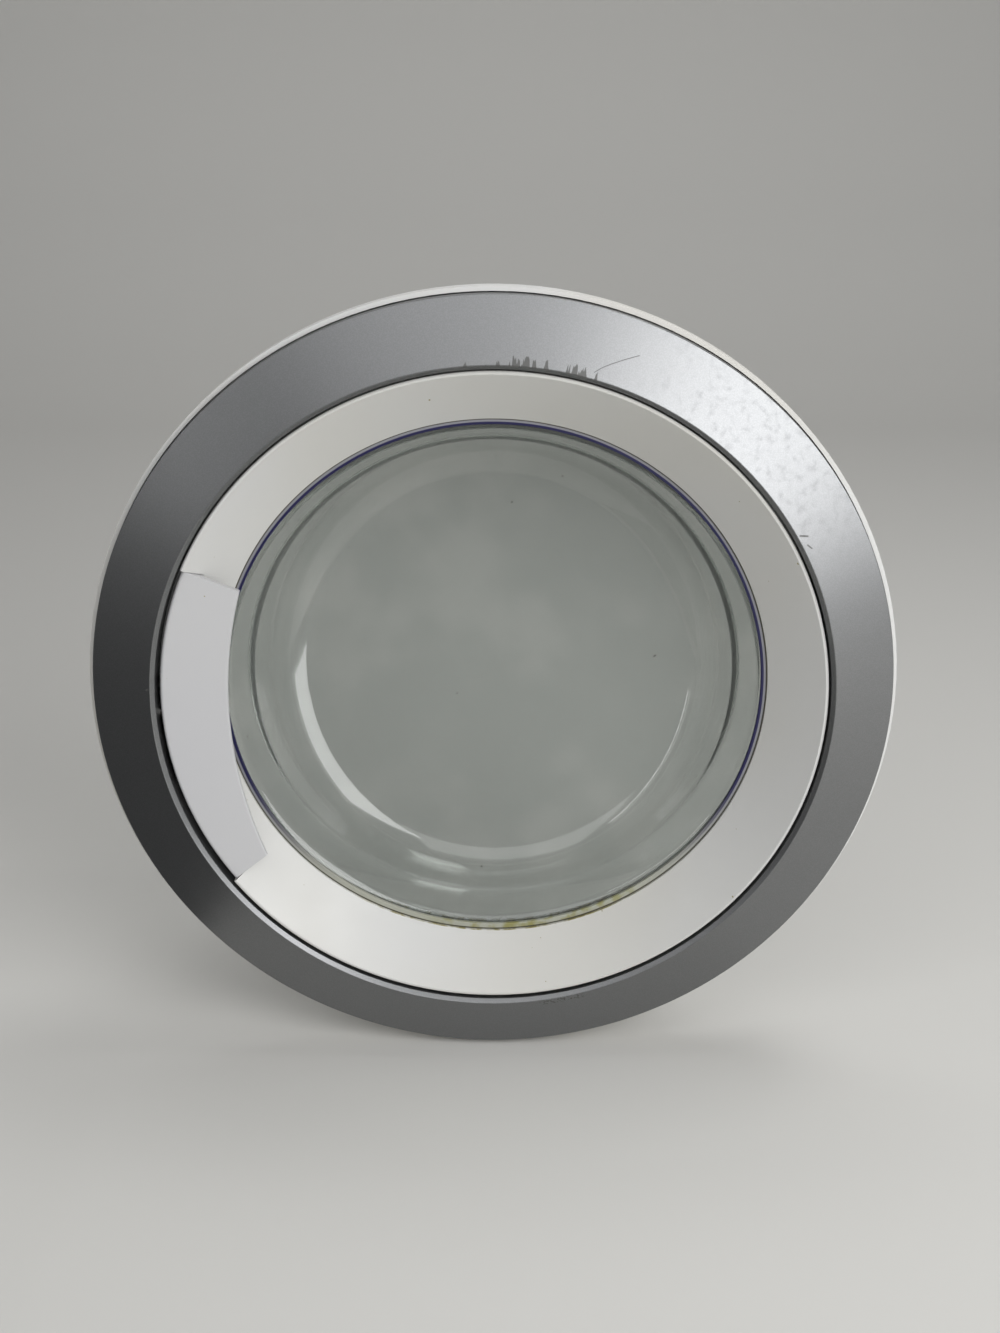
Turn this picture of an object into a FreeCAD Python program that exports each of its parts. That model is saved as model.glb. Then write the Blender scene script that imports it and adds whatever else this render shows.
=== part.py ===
"""Front-loader washing machine door: two rings, a glass bowl, a rear frame, a pull latch and a hinge.

The frame is the installed door's: +X to the right, +Z up, and the front of the door faces -Y. The origin is
on the porthole axis in the closing plane, which is the rear face of the rear frame's rim. Heights are
measured forwards from that plane and depths backwards. Angles run counter-clockwise from +X as the door is
seen from the front. Lengths are in millimetres.
"""
import FreeCAD, Part
import math
import os

# Radii of the rings, from the porthole outwards
opening_radius = 152.0
funnel_width = 28.5
trim_gap = 1.9
lip_width = 2.1
band_width = 33.5
ring_gap = 0.6
frame_wall = 2.4

# Heights of the rings in front of the closing plane
rim_height = 12.0
edge_step = 6.0
skirt_overlap = 4.0
cone_rise = 13.0
lip_drop = 2.2
crest_drop = 1.5
ledge_height = 16.0
ring_wall = 2.4
ledge_width = 5.9
shelf_wall = 2.5
trim_edge = 1.6
trim_seat = 2.0
crest_round = 1.2
ridge_round = 0.7
rim_bend = 0.8
dish_bend = 1.0

# Glass bowl and its seal
seal_show = 3.4
seal_overlap = 1.1
seal_lip = 1.5
seal_wall = 2.4
seal_clearance = 0.1
seal_rear_width = 9.0
flange_width = 13.5
glass_wall = 5.5
neck_taper = 11.5
neck_depth = 18.0
wall_taper = 15.0
bowl_depth = 100.0
floor_rake = 55.0
cup_start = 26.0
flange_bend = 3.0
neck_bend = 16.0
floor_bend = 25.0

# Clamp dish of the rear frame, behind the glass flange
dish_gap = 0.7
dish_draft = 3.4
clamp_width = 12.7

# Screws that pull the rear frame to the outer ring
frame_screw_step = 30.0
frame_screw_free_span = 20.0
frame_screw_inset = 18.0
boss_radius = 4.2
well_radius = 5.2
well_floor_height = 6.2
well_wall = 1.8
frame_screw_radius = 2.0
frame_screw_length = 16.0
pan_head_radius = 4.0
pan_head_height = 2.6
screw_clearance = 0.05
rib_wall = 1.6

# Countersunk screws of the latch bracket and the hinge bearing
flat_screw_radius = 2.0
flat_head_radius = 4.0
flat_head_height = 2.0

# Handle
handle_angle = 185.5
handle_half_span = 30.5
handle_gap = 0.2
handle_drop = 5.2
handle_wall = 3.0
handle_edge_round = 1.6
handle_flange_wall = 2.5
handle_flange_depth = 4.4
handle_end_gap = 0.35
grip_height = 20.0
grip_upper_overhang = 3.4
grip_middle_overhang = 7.0
grip_lower_setback = 5.8
grip_round = 1.2
lug_radius = 4.0
lug_width = 5.0
lug_offset = 19.0
groove_clearance = 0.3

# Pivot of the handle and the hook
pivot_inset = 8.3
pivot_height = 19.2
pivot_pin_radius = 1.5
pivot_wall = 1.5
running_clearance = 0.05
ear_wall = 3.0
ear_gap = 1.0
pin_overhang = 2.0
clip_wall = 0.8
clip_width = 1.4
clip_gap = 0.2

# Latch hook
hook_width = 10.0
hook_arm = 6.5
hook_reach = 25.0
hook_nose = 8.0
hook_nose_depth = 8.0
hook_nose_wall = 4.0
hook_setback = 8.0
hook_drive_gap = 0.3
hook_slot_gap = 1.5
hook_travel = 8.0
hook_tip_round = 1.5
hook_elbow_round = 1.0
nose_edge_round = 0.6
nose_ramp_round = 1.2

# Bracket that carries the pivot
bracket_wall = 2.5
bracket_inner_margin = 2.5
bracket_length = 29.5
bracket_screw_offset = 16.0
bracket_screw_inset = 5.0
ear_foot = 14.5

# Springs on the pivot
spring_wire = 0.5
spring_gap = 0.3
spring_turns = 3
spring_pitch = 1.15
spring_leg = 6.0

# Hinge axis, arms and leaf
hinge_angle = 0.0
hinge_inset = 14.0
hinge_height = 7.2
hinge_pin_radius = 3.0
bush_wall = 0.95
bush_flange = 1.0
bush_flange_width = 1.2
eye_wall = 1.5
arm_spacing = 44.0
arm_width = 10.0
arm_wall = 5.0
arm_reach = 17.5
arm_bend = 2.0
slot_side_gap = 1.5
slot_end_gap = 1.2
slot_outer_reach = 9.3
leaf_face_depth = 15.0
leaf_wall = 2.5
leaf_width = 32.5
leaf_height = 104.0
leaf_corner = 5.0
leaf_hole_radius = 2.75
leaf_hole_spacing_x = 16.0
leaf_hole_spacing_z = 84.0
leaf_hole_margin = 9.5

# Bearing on the door side of the hinge
bearing_wall = 2.5
bearing_outer_wall = 1.5
bearing_inner_reach = 16.0
bearing_end_width = 9.2
bearing_screw_reach = 11.0
bearing_screw_length = 12.0
bearing_round = 3.0
web_gap = 0.5
axial_clearance = 0.3

# Radii and heights that follow from the sizes above
trim_radius = opening_radius + funnel_width
lip_radius = trim_radius + trim_gap
ridge_radius = lip_radius + lip_width
silver_radius = ridge_radius + band_width
rim_inner_radius = silver_radius + ring_gap
rim_radius = rim_inner_radius + frame_wall
edge_height = rim_height + edge_step
skirt_height = rim_height - skirt_overlap
ridge_height = edge_height + cone_rise
lip_height = ridge_height - lip_drop
crest_height = ridge_height - crest_drop
shelf_height = ledge_height + shelf_wall
trim_inner_height = seal_lip + trim_edge
seal_inner_radius = opening_radius - seal_show
mouth_radius = seal_inner_radius - seal_overlap
flange_radius = mouth_radius + flange_width
seal_outer_radius = flange_radius + seal_clearance + seal_wall
neck_radius = mouth_radius - neck_taper
floor_radius = neck_radius - wall_taper
clamp_depth = glass_wall + seal_lip
dish_radius = seal_outer_radius + dish_gap
dish_foot_radius = dish_radius + dish_draft
clamp_inner_radius = dish_radius - clamp_width
boss_circle = silver_radius - frame_screw_inset
handle_radius = trim_radius - handle_gap
handle_height = ridge_height - handle_drop
grip_upper_radius = opening_radius - grip_upper_overhang
grip_middle_radius = opening_radius - grip_middle_overhang
grip_lower_radius = opening_radius + grip_lower_setback
pivot_radius = handle_radius - pivot_inset
hub_radius = pivot_pin_radius + pivot_wall
lug_end = lug_offset + lug_width
ear_start = lug_end + ear_gap
ear_end = ear_start + ear_wall
pivot_pin_half = ear_end + pin_overhang
hook_inner = pivot_radius + hook_setback
hook_outer = hook_inner + hook_arm
hinge_x = rim_radius - hinge_inset
bush_radius = hinge_pin_radius + running_clearance + bush_wall
eye_radius = bush_radius + eye_wall
arm_near = arm_spacing / 2 - arm_width / 2
arm_far = arm_spacing / 2 + arm_width / 2
leg_outer_x = hinge_x - arm_reach
leg_inner_x = leg_outer_x - arm_wall
leaf_inner_x = leg_outer_x - leaf_width
leaf_hole_x = leaf_inner_x + leaf_hole_margin
block_half = arm_near - bush_flange - axial_clearance
end_near = arm_far + bush_flange + axial_clearance
end_far = end_near + bearing_end_width
web_height = hinge_height + eye_radius + web_gap
bearing_height = web_height + bearing_wall
bearing_outer_x = hinge_x + hinge_pin_radius + bearing_outer_wall
bearing_inner_x = hinge_x - bearing_inner_reach
hinge_pin_half = end_far + clip_gap + clip_wall + pin_overhang

ORIGIN = FreeCAD.Vector(0, 0, 0)
FRONT = FreeCAD.Vector(0, -1, 0)
BACK = FreeCAD.Vector(0, 1, 0)
UP = FreeCAD.Vector(0, 0, 1)
RIGHT = FreeCAD.Vector(1, 0, 0)


def outline(corners):
    """Closed wire in the XY plane through (x, y) or (x, y, radius) corners, with tangent arcs at the radii."""
    spots = [FreeCAD.Vector(corner[0], corner[1], 0) for corner in corners]
    radii = [corner[2] if len(corner) > 2 else 0.0 for corner in corners]
    stops = []
    edges = []
    for index, here in enumerate(spots):
        if radii[index] == 0.0:
            stops.append((here, here))
            continue
        before = (spots[index - 1] - here).normalize()
        after = (spots[(index + 1) % len(spots)] - here).normalize()
        half = before.getAngle(after) / 2
        reach = radii[index] / math.tan(half)
        middle = (before + after).normalize()
        crown = here + middle * (radii[index] / math.sin(half) - radii[index])
        stops.append((here + before * reach, here + after * reach))
        edges.append(Part.Arc(stops[-1][0], crown, stops[-1][1]).toShape())
    for index, stop in enumerate(stops):
        start = stops[index - 1][1]
        if start.distanceToPoint(stop[0]) > 1e-6:
            edges.append(Part.LineSegment(start, stop[0]).toShape())
    return Part.Wire(Part.__sortEdges__(edges))


def wall_outline(chain, wall):
    """Corners of a wall of even thickness, from (x, y, inside bend radius) points along its left face."""
    left = []
    right = []
    for index, (x, y, bend) in enumerate(chain):
        here = FreeCAD.Vector(x, y, 0)
        steps = []
        if index > 0:
            steps.append((here - FreeCAD.Vector(*chain[index - 1][:2], 0)).normalize())
        if index < len(chain) - 1:
            steps.append((FreeCAD.Vector(*chain[index + 1][:2], 0) - here).normalize())
        sides = [FreeCAD.Vector(step.y, -step.x, 0) for step in steps]
        mitre = (sides[0] + sides[-1]).normalize()
        far = here + mitre * (wall / mitre.dot(sides[0]))
        turns_left = steps[0].cross(steps[-1]).z > 0
        outside = bend + wall if bend else 0.0
        left.append((x, y, bend if turns_left else outside))
        right.append((far.x, far.y, outside if turns_left else bend))
    return left + right[::-1]


def ring(corners, start=0.0, span=360.0):
    """Solid swept from an outline of (radius, y) corners round the porthole axis."""
    solid = Part.Face(outline(corners)).revolve(ORIGIN, FRONT, span)
    return turned(solid, start)


def prism(corners, low, high):
    """Solid between two levels of Z with an outline of (x, y) corners."""
    solid = Part.Face(outline(corners)).extrude(UP * (high - low))
    return solid.translated(UP * low)


def block(x_range, y_range, z_range):
    """Box between pairs of limits."""
    size = [high - low for low, high in (x_range, y_range, z_range)]
    return Part.makeBox(*size, FreeCAD.Vector(x_range[0], y_range[0], z_range[0]))


def rod(radius, start, end):
    """Round bar between two points."""
    return Part.makeCylinder(radius, start.distanceToPoint(end), start, end - start)


def turned(shape, angle):
    """The shape turned about the porthole axis, counter-clockwise as seen from the front."""
    return shape.rotated(ORIGIN, FRONT, angle)


def mirrored_pair(shape):
    """The shape and its mirror image across Z = 0."""
    return [shape, shape.mirror(ORIGIN, UP)]


def spot(x, y, z=0.0):
    """Point in the door's frame."""
    return FreeCAD.Vector(x, y, z)


def turned_spot(radius, angle):
    """Point in the closing plane at a radius and an angle round the porthole axis."""
    return spot(radius * math.cos(math.radians(angle)), 0, radius * math.sin(math.radians(angle)))


def cone_height(radius):
    """Height of the silver band's front face at a radius."""
    return edge_height + (silver_radius - radius) * cone_rise / band_width


def funnel_height(radius):
    """Height of the white funnel's front face at a radius."""
    return trim_inner_height + (radius - opening_radius) * (crest_height - trim_inner_height) / funnel_width


def funnel_radius(height):
    """Radius of the white funnel's front face at a height."""
    return opening_radius + (height - trim_inner_height) * funnel_width / (crest_height - trim_inner_height)


def handle_front(radius):
    """Height of the handle plate's front face at a radius."""
    slope = (handle_height - grip_height) / (handle_radius - grip_middle_radius)
    return grip_height + (radius - grip_middle_radius) * slope


def angle_between(first, second):
    """Smaller angle between two directions in degrees."""
    turn = abs(first - second) % 360.0
    return min(turn, 360.0 - turn)


def frame_screw_angles():
    """Angles of the frame screws: an even round that leaves out the hinge and the latch."""
    count = round(360.0 / frame_screw_step)
    steps = [360.0 * index / count for index in range(count)]
    return [
        angle for angle in steps
        if min(angle_between(angle, hinge_angle), angle_between(angle, handle_angle)) > frame_screw_free_span
    ]


def at_frame_screws(shape):
    """Copies of a shape that stands on +X, one at each frame screw."""
    return [turned(shape, angle) for angle in frame_screw_angles()]


def bracket_screw_spots():
    """Places of the bracket's screws in the latch's own frame, with the latch on +X."""
    x = pivot_radius - bracket_inner_margin + bracket_length - bracket_screw_inset
    return [spot(x, 0, side * bracket_screw_offset) for side in (-1, 1)]


def bearing_screw_spots():
    """Places of the hinge bearing's screws."""
    end_middle = (end_near + end_far) / 2
    return [spot(hinge_x - bearing_screw_reach, 0, z) for z in (-end_middle, 0.0, end_middle)]


def flat_screw(place, length, clearance=0.0):
    """Countersunk screw whose head is flush with the closing plane and whose shank points forwards."""
    head_base = place + FRONT * flat_head_height
    shank = rod(flat_screw_radius + clearance, place, place + FRONT * length)
    head = Part.makeCone(
        flat_head_radius + clearance, flat_screw_radius + clearance, flat_head_height, place, head_base - place
    )
    return shank.fuse(head).removeSplitter()


def outer_ring():
    """Silver front ring: conical band, bevelled lip, inner wall with a ledge, skirt and ribbed bosses."""
    drop = ring_wall * math.hypot(band_width, cone_rise) / band_width
    wall_back = lip_radius + ring_wall
    skirt_inner = silver_radius - ring_wall
    body = ring([
        (silver_radius, -skirt_height),
        (silver_radius, -edge_height, ridge_round),
        (ridge_radius, -ridge_height, ridge_round),
        (lip_radius, -lip_height),
        (lip_radius, -ledge_height),
        (lip_radius - ledge_width, -ledge_height),
        (lip_radius - ledge_width, ring_wall - ledge_height),
        (wall_back, ring_wall - ledge_height),
        (wall_back, drop - cone_height(wall_back)),
        (skirt_inner, drop - cone_height(skirt_inner)),
        (skirt_inner, -skirt_height),
    ])
    under_cone = ring([
        (wall_back, 0),
        (wall_back, drop / 2 - cone_height(wall_back)),
        (skirt_inner, drop / 2 - cone_height(skirt_inner)),
        (skirt_inner, 0),
    ])
    boss = rod(boss_radius, spot(boss_circle, -well_floor_height), spot(boss_circle, -ridge_height))
    rib = block(
        (lip_radius, silver_radius), (-ridge_height, ring_wall - ledge_height), (-rib_wall / 2, rib_wall / 2)
    )
    boss = boss.fuse(rib).common(under_cone)
    pilot_end = well_floor_height - well_wall + frame_screw_length
    pilot = rod(
        frame_screw_radius + screw_clearance, spot(boss_circle, 0), spot(boss_circle, -pilot_end)
    )
    latch_room = block(
        (pivot_radius - lug_radius, wall_back + ring_wall),
        (-pivot_height, 0),
        (-pivot_pin_half - ear_gap, pivot_pin_half + ear_gap),
    )
    body = body.fuse(at_frame_screws(boss))
    body = body.cut(at_frame_screws(pilot) + [turned(latch_room, handle_angle)])
    return body.removeSplitter()


def trim_ring():
    """White funnel ring: seats on the seal and the silver ledge, and is set back under the handle."""
    slope = (crest_height - trim_inner_height) / funnel_width
    back_shift = ring_wall * math.hypot(1.0, slope)
    skirt_inner = trim_radius - ring_wall

    def back(radius):
        return back_shift - funnel_height(radius)

    seat_radius = opening_radius + trim_seat
    shelf_radius = funnel_radius(shelf_height)
    shelf_back_radius = funnel_radius(ledge_height + back_shift)
    inner_edge = [
        (seat_radius, back(seat_radius)),
        (seat_radius, -seal_lip),
        (opening_radius, -seal_lip),
        (opening_radius, -trim_inner_height),
    ]
    crest = [
        (trim_radius, -crest_height, crest_round),
        (trim_radius, -ledge_height),
        (skirt_inner, -ledge_height),
        (skirt_inner, back(skirt_inner)),
    ]
    shelf = [
        (shelf_radius, -shelf_height),
        (trim_radius, -shelf_height),
        (trim_radius, -ledge_height),
        (shelf_back_radius, -ledge_height),
    ]
    half_open = handle_half_span + math.degrees(handle_end_gap / handle_radius)
    full = ring(inner_edge + crest, handle_angle + half_open, 360.0 - 2 * half_open)
    under_handle = ring(inner_edge + shelf, handle_angle - half_open, 2 * half_open)
    window = block(
        (pivot_radius - lug_radius - ear_gap, lip_radius),
        (-crest_height, 0),
        (-pivot_pin_half - ear_gap, pivot_pin_half + ear_gap),
    )
    return full.fuse(under_handle).cut(turned(window, handle_angle)).removeSplitter()


def cup(outset):
    """Filled cup of the bowl behind its neck, outset from the hollow's face, with a raked, rounded floor."""
    draft = math.atan2(wall_taper, bowl_depth - neck_depth)
    rake = math.atan2(floor_rake, 2 * floor_radius)
    reach = bowl_depth + 2 * glass_wall
    radii = [
        neck_radius - (depth - neck_depth) * math.tan(draft) + outset / math.cos(draft)
        for depth in (cup_start, reach)
    ]
    cone = Part.makeCone(*radii, reach - cup_start, spot(0, cup_start), spot(0, 1))
    behind = block((-flange_radius, flange_radius), (outset, reach), (-2 * flange_radius, flange_radius))
    behind = behind.rotated(ORIGIN, RIGHT, -math.degrees(rake)).translated(spot(0, bowl_depth, floor_radius))
    body = cone.cut(behind)
    rim = [edge for edge in body.Edges if isinstance(edge.Curve, Part.Ellipse)]
    return body.makeFillet(floor_bend + outset, rim)


def glass_bowl():
    """Glass bowl of even wall: a flat flange, a tapered neck and a cup with a raked floor, deepest at the top."""
    tube = ring(wall_outline([
        (flange_radius, 0, 0),
        (mouth_radius, 0, flange_bend),
        (neck_radius, neck_depth, neck_bend),
        (floor_radius, bowl_depth, 0),
    ], glass_wall))
    neck = tube.common(rod(flange_radius, ORIGIN, spot(0, cup_start)))
    return neck.fuse(cup(glass_wall).cut(cup(0))).removeSplitter()


def glass_seal():
    """Channel-shaped seal round the edge of the glass flange."""
    channel = flange_radius + seal_clearance
    rear_radius = seal_outer_radius - seal_rear_width
    return ring([
        (seal_inner_radius, -seal_lip),
        (seal_outer_radius, -seal_lip),
        (seal_outer_radius, clamp_depth),
        (rear_radius, clamp_depth),
        (rear_radius, glass_wall),
        (channel, glass_wall),
        (channel, 0),
        (seal_inner_radius, 0),
    ])


def rear_frame():
    """White rear frame: rim, rear wall, dish that clamps the glass, ribbed wells, hook and arm slots."""
    body = ring(wall_outline([
        (rim_inner_radius, -rim_height, 0),
        (rim_inner_radius, -frame_wall, rim_bend),
        (dish_foot_radius, -frame_wall, dish_bend),
        (dish_radius, clamp_depth, dish_bend),
        (clamp_inner_radius, clamp_depth, 0),
    ], frame_wall))
    well_base = well_floor_height - well_wall
    well = rod(well_radius + well_wall, spot(boss_circle, -frame_wall), spot(boss_circle, -well_floor_height))
    rib = block(
        (trim_radius, rim_inner_radius + frame_wall / 2),
        (-well_floor_height, -frame_wall / 2),
        (-rib_wall / 2, rib_wall / 2),
    )
    well_hollow = rod(well_radius, spot(boss_circle, 0), spot(boss_circle, -well_base))
    screw_hole = rod(
        frame_screw_radius + screw_clearance, spot(boss_circle, 0), spot(boss_circle, -well_floor_height)
    )
    slot_half = hook_width / 2 + hook_slot_gap
    hook_slot = block(
        (hook_inner - hook_travel + hook_slot_gap, hook_outer + hook_slot_gap),
        (-frame_wall, 0),
        (-slot_half, slot_half),
    )
    arm_slot = block(
        (leg_inner_x - slot_end_gap, hinge_x + slot_outer_reach),
        (-frame_wall, 0),
        (arm_near - slot_side_gap, arm_far + slot_side_gap),
    )
    cuts = at_frame_screws(well_hollow) + at_frame_screws(screw_hole)
    cuts += [turned(hook_slot, handle_angle)]
    cuts += mirrored_pair(arm_slot)
    cuts += [
        turned(flat_screw(place, frame_wall, screw_clearance), handle_angle) for place in bracket_screw_spots()
    ]
    cuts += [flat_screw(place, frame_wall, screw_clearance) for place in bearing_screw_spots()]
    return body.fuse(at_frame_screws(well.fuse(rib))).cut(cuts).removeSplitter()


def frame_screws():
    """Pan-head screws in the rear frame's wells."""
    base = well_floor_height - well_wall
    head = rod(pan_head_radius, spot(boss_circle, -base), spot(boss_circle, pan_head_height - base))
    shank = rod(frame_screw_radius, spot(boss_circle, -base), spot(boss_circle, -base - frame_screw_length))
    return at_frame_screws(head.fuse(shank).removeSplitter())


def handle():
    """Pull plate over the funnel ring's recess, with an arched grip edge and two lugs on the pivot."""
    flange_inner = handle_radius - handle_flange_wall
    inner_limit = grip_middle_radius - handle_flange_depth
    plate = ring([
        (inner_limit, -handle_front(inner_limit)),
        (handle_radius, -handle_height, handle_edge_round),
        (handle_radius, handle_flange_depth - handle_height),
        (flange_inner, handle_flange_depth - handle_height),
        (flange_inner, handle_wall - handle_front(flange_inner)),
        (inner_limit, handle_wall - handle_front(inner_limit)),
    ], -handle_half_span, 2 * handle_half_span)
    upper = turned_spot(grip_upper_radius, -handle_half_span)
    lower = turned_spot(grip_lower_radius, handle_half_span)
    upper_side = upper + turned_spot(handle_wall, -handle_half_span - 90.0)
    lower_side = lower + turned_spot(handle_wall, handle_half_span + 90.0)
    arch = Part.Arc(upper, spot(grip_middle_radius, 0), lower).toShape()
    inside = Part.Face(Part.Wire([
        arch,
        Part.LineSegment(lower, lower_side).toShape(),
        Part.LineSegment(lower_side, ORIGIN).toShape(),
        Part.LineSegment(ORIGIN, upper_side).toShape(),
        Part.LineSegment(upper_side, upper).toShape(),
    ]))
    plate = plate.cut(inside.extrude(FRONT * ridge_height))

    def along_arch(edge):
        centre = arch.Curve.Center
        middle = edge.valueAt((edge.FirstParameter + edge.LastParameter) / 2)
        ends = [vertex.Point for vertex in edge.Vertexes]
        reaches = [math.hypot(point.x - centre.x, point.z - centre.z) for point in ends + [middle]]
        off = max(abs(reach - arch.Curve.Radius) for reach in reaches)
        return off < handle_gap and abs(ends[0].z - ends[-1].z) > handle_wall

    plate = plate.makeFillet(grip_round, [edge for edge in plate.Edges if along_arch(edge)])
    axis_start = spot(pivot_radius, -pivot_height, -pivot_pin_half)
    axis_end = spot(pivot_radius, -pivot_height, pivot_pin_half)
    groove = rod(hub_radius + groove_clearance, axis_start, axis_end)
    bore = rod(pivot_pin_radius + running_clearance, axis_start, axis_end)
    lug = rod(
        lug_radius, spot(pivot_radius, -pivot_height, lug_offset), spot(pivot_radius, -pivot_height, lug_end)
    )
    inner_side = pivot_radius - lug_radius
    outer_side = pivot_radius + lug_radius
    lug = lug.fuse(prism([
        (inner_side, -pivot_height),
        (outer_side, -pivot_height),
        (outer_side, handle_wall / 2 - handle_front(outer_side)),
        (inner_side, handle_wall / 2 - handle_front(inner_side)),
    ], lug_offset, lug_end))
    body = plate.cut(groove).fuse(mirrored_pair(lug)).cut(bore)
    return turned(body.removeSplitter(), handle_angle)


def handle_pin():
    """Steel pivot of the handle and the hook."""
    pin = rod(
        pivot_pin_radius,
        spot(pivot_radius, -pivot_height, -pivot_pin_half),
        spot(pivot_radius, -pivot_height, pivot_pin_half),
    )
    return turned(pin, handle_angle)


def clips(x, y, pin_radius, first_face):
    """Retaining rings on both ends of a pin that runs along Z."""
    start = spot(x, y, first_face + clip_gap)
    end = start + UP * clip_wall
    clip = rod(pin_radius + clip_width, start, end).cut(rod(pin_radius + screw_clearance, start, end))
    return mirrored_pair(clip)


def pin_clips():
    """Retaining rings on the handle pin."""
    rings = clips(pivot_radius, -pivot_height, pivot_pin_radius, ear_end)
    return [turned(ring, handle_angle) for ring in rings]


def latch_bracket():
    """Pressed bracket on the rear frame: a base with a slot for the hook, and two ears for the pivot pin."""
    inner_x = pivot_radius - bracket_inner_margin
    outer_x = inner_x + bracket_length
    slot_half = hook_width / 2 + hook_slot_gap
    base = block((inner_x, outer_x), (-frame_wall - bracket_wall, -frame_wall), (-ear_end, ear_end))
    slot = block(
        (hook_inner - hook_travel + hook_slot_gap, hook_outer + hook_slot_gap),
        (-frame_wall - bracket_wall, -frame_wall),
        (-slot_half, slot_half),
    )
    ear = prism([
        (inner_x, -frame_wall),
        (pivot_radius - hub_radius, -pivot_height),
        (pivot_radius + hub_radius, -pivot_height),
        (inner_x + ear_foot, -frame_wall),
    ], ear_start, ear_end)
    ear = ear.fuse(rod(
        hub_radius, spot(pivot_radius, -pivot_height, ear_start), spot(pivot_radius, -pivot_height, ear_end)
    ))
    bore = rod(
        pivot_pin_radius + running_clearance,
        spot(pivot_radius, -pivot_height, -ear_end),
        spot(pivot_radius, -pivot_height, ear_end),
    )
    threads = [
        rod(flat_screw_radius + screw_clearance, place, place + FRONT * (frame_wall + bracket_wall))
        for place in bracket_screw_spots()
    ]
    body = base.fuse(mirrored_pair(ear)).cut([slot, bore] + threads)
    return turned(body.removeSplitter(), handle_angle)


def bracket_screws():
    """Countersunk screws that hold the latch bracket."""
    length = frame_wall + bracket_wall
    return [turned(flat_screw(place, length), handle_angle) for place in bracket_screw_spots()]


def latch_hook():
    """Die-cast hook: hub on the pivot, tail under the handle's flange, cranked arm and outward nose."""
    tail_top = -(handle_height - handle_flange_depth - hook_drive_gap)
    tail_end = handle_radius - hook_drive_gap
    tail_root = handle_radius - handle_flange_wall - 2 * hook_drive_gap
    arm_line = -pivot_height + lug_radius
    crank_depth = -(frame_wall + bracket_wall + hook_slot_gap)
    half = hook_width / 2
    arm = prism([
        (pivot_radius, -pivot_height - hub_radius),
        (tail_root - hub_radius / 2, tail_top),
        (tail_end, tail_top),
        (tail_end, arm_line),
        (hook_outer, crank_depth, hook_arm / 2),
        (hook_outer, hook_nose_depth, 0),
        (hook_outer + hook_nose, hook_nose_depth, nose_edge_round),
        (hook_outer + hook_nose, hook_nose_depth + hook_nose_wall, nose_ramp_round),
        (hook_outer, hook_reach, hook_tip_round),
        (hook_inner, hook_reach, hook_tip_round),
        (hook_inner, crank_depth, hook_arm / 2),
        (pivot_radius - hub_radius, arm_line, hook_elbow_round),
        (pivot_radius - hub_radius, -pivot_height),
    ], -half, half)
    axis_start = spot(pivot_radius, -pivot_height, -half)
    axis_end = spot(pivot_radius, -pivot_height, half)
    hub = rod(hub_radius, axis_start, axis_end)
    bore = rod(pivot_pin_radius + running_clearance, axis_start, axis_end)
    return turned(arm.fuse(hub).cut(bore).removeSplitter(), handle_angle)


def torsion_spring(low):
    """Wound spring round the pivot that starts at a level of Z, with two straight legs."""
    mean_radius = pivot_pin_radius + spring_gap + spring_wire
    coil_length = spring_turns * spring_pitch
    helix = Part.makeHelix(spring_pitch, coil_length, mean_radius)
    section = Part.Wire(Part.makeCircle(spring_wire, spot(mean_radius, 0, 0), BACK))
    coil = helix.makePipeShell([section], True, True)
    front_leg = rod(spring_wire, spot(mean_radius, 0, 0), spot(mean_radius, spring_leg, 0))
    rear_leg = rod(spring_wire, spot(mean_radius, 0, coil_length), spot(mean_radius, spring_leg, coil_length))
    body = coil.fuse([front_leg, rear_leg]).removeSplitter()
    return turned(body.translated(spot(pivot_radius, -pivot_height, low)), handle_angle)


def handle_spring():
    """Return spring of the handle, between the hook and the lower lug."""
    coil_length = spring_turns * spring_pitch
    room = lug_offset - hook_width / 2
    return torsion_spring(hook_width / 2 + (room - coil_length) / 2)


def hook_spring():
    """Return spring of the hook, between the hook and the upper lug."""
    coil_length = spring_turns * spring_pitch
    room = lug_offset - hook_width / 2
    return torsion_spring(-lug_offset + (room - coil_length) / 2)


def hinge_leaf():
    """Cabinet side of the hinge: a screwed plate with two swan-neck arms that end in eyes."""
    plate = block(
        (leaf_inner_x, leg_outer_x),
        (leaf_face_depth - leaf_wall, leaf_face_depth),
        (-leaf_height / 2, leaf_height / 2),
    )
    upright = [
        edge for edge in plate.Edges
        if edge.Length < leaf_wall * 1.01 and edge.CenterOfMass.x < leg_inner_x
    ]
    plate = plate.makeFillet(leaf_corner, upright)
    arm = prism([
        (hinge_x, arm_wall / 2 - hinge_height),
        (leg_outer_x, arm_wall / 2 - hinge_height, arm_bend),
        (leg_outer_x, leaf_face_depth),
        (leg_inner_x, leaf_face_depth),
        (leg_inner_x, -arm_wall / 2 - hinge_height, arm_bend + arm_wall),
        (hinge_x, -arm_wall / 2 - hinge_height),
    ], arm_near, arm_far)
    axis_low = spot(hinge_x, -hinge_height, arm_near)
    axis_high = spot(hinge_x, -hinge_height, arm_far)
    eye = rod(eye_radius, axis_low, axis_high)
    bore = rod(bush_radius + screw_clearance, axis_low, axis_high)
    arm = arm.fuse(eye).cut(bore)
    holes = []
    for x in (leaf_hole_x, leaf_hole_x + leaf_hole_spacing_x):
        for z in (-leaf_hole_spacing_z / 2, leaf_hole_spacing_z / 2):
            holes.append(rod(leaf_hole_radius, spot(x, 0, z), spot(x, leaf_face_depth, z)))
    return plate.fuse(mirrored_pair(arm)).cut(holes).removeSplitter()


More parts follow.
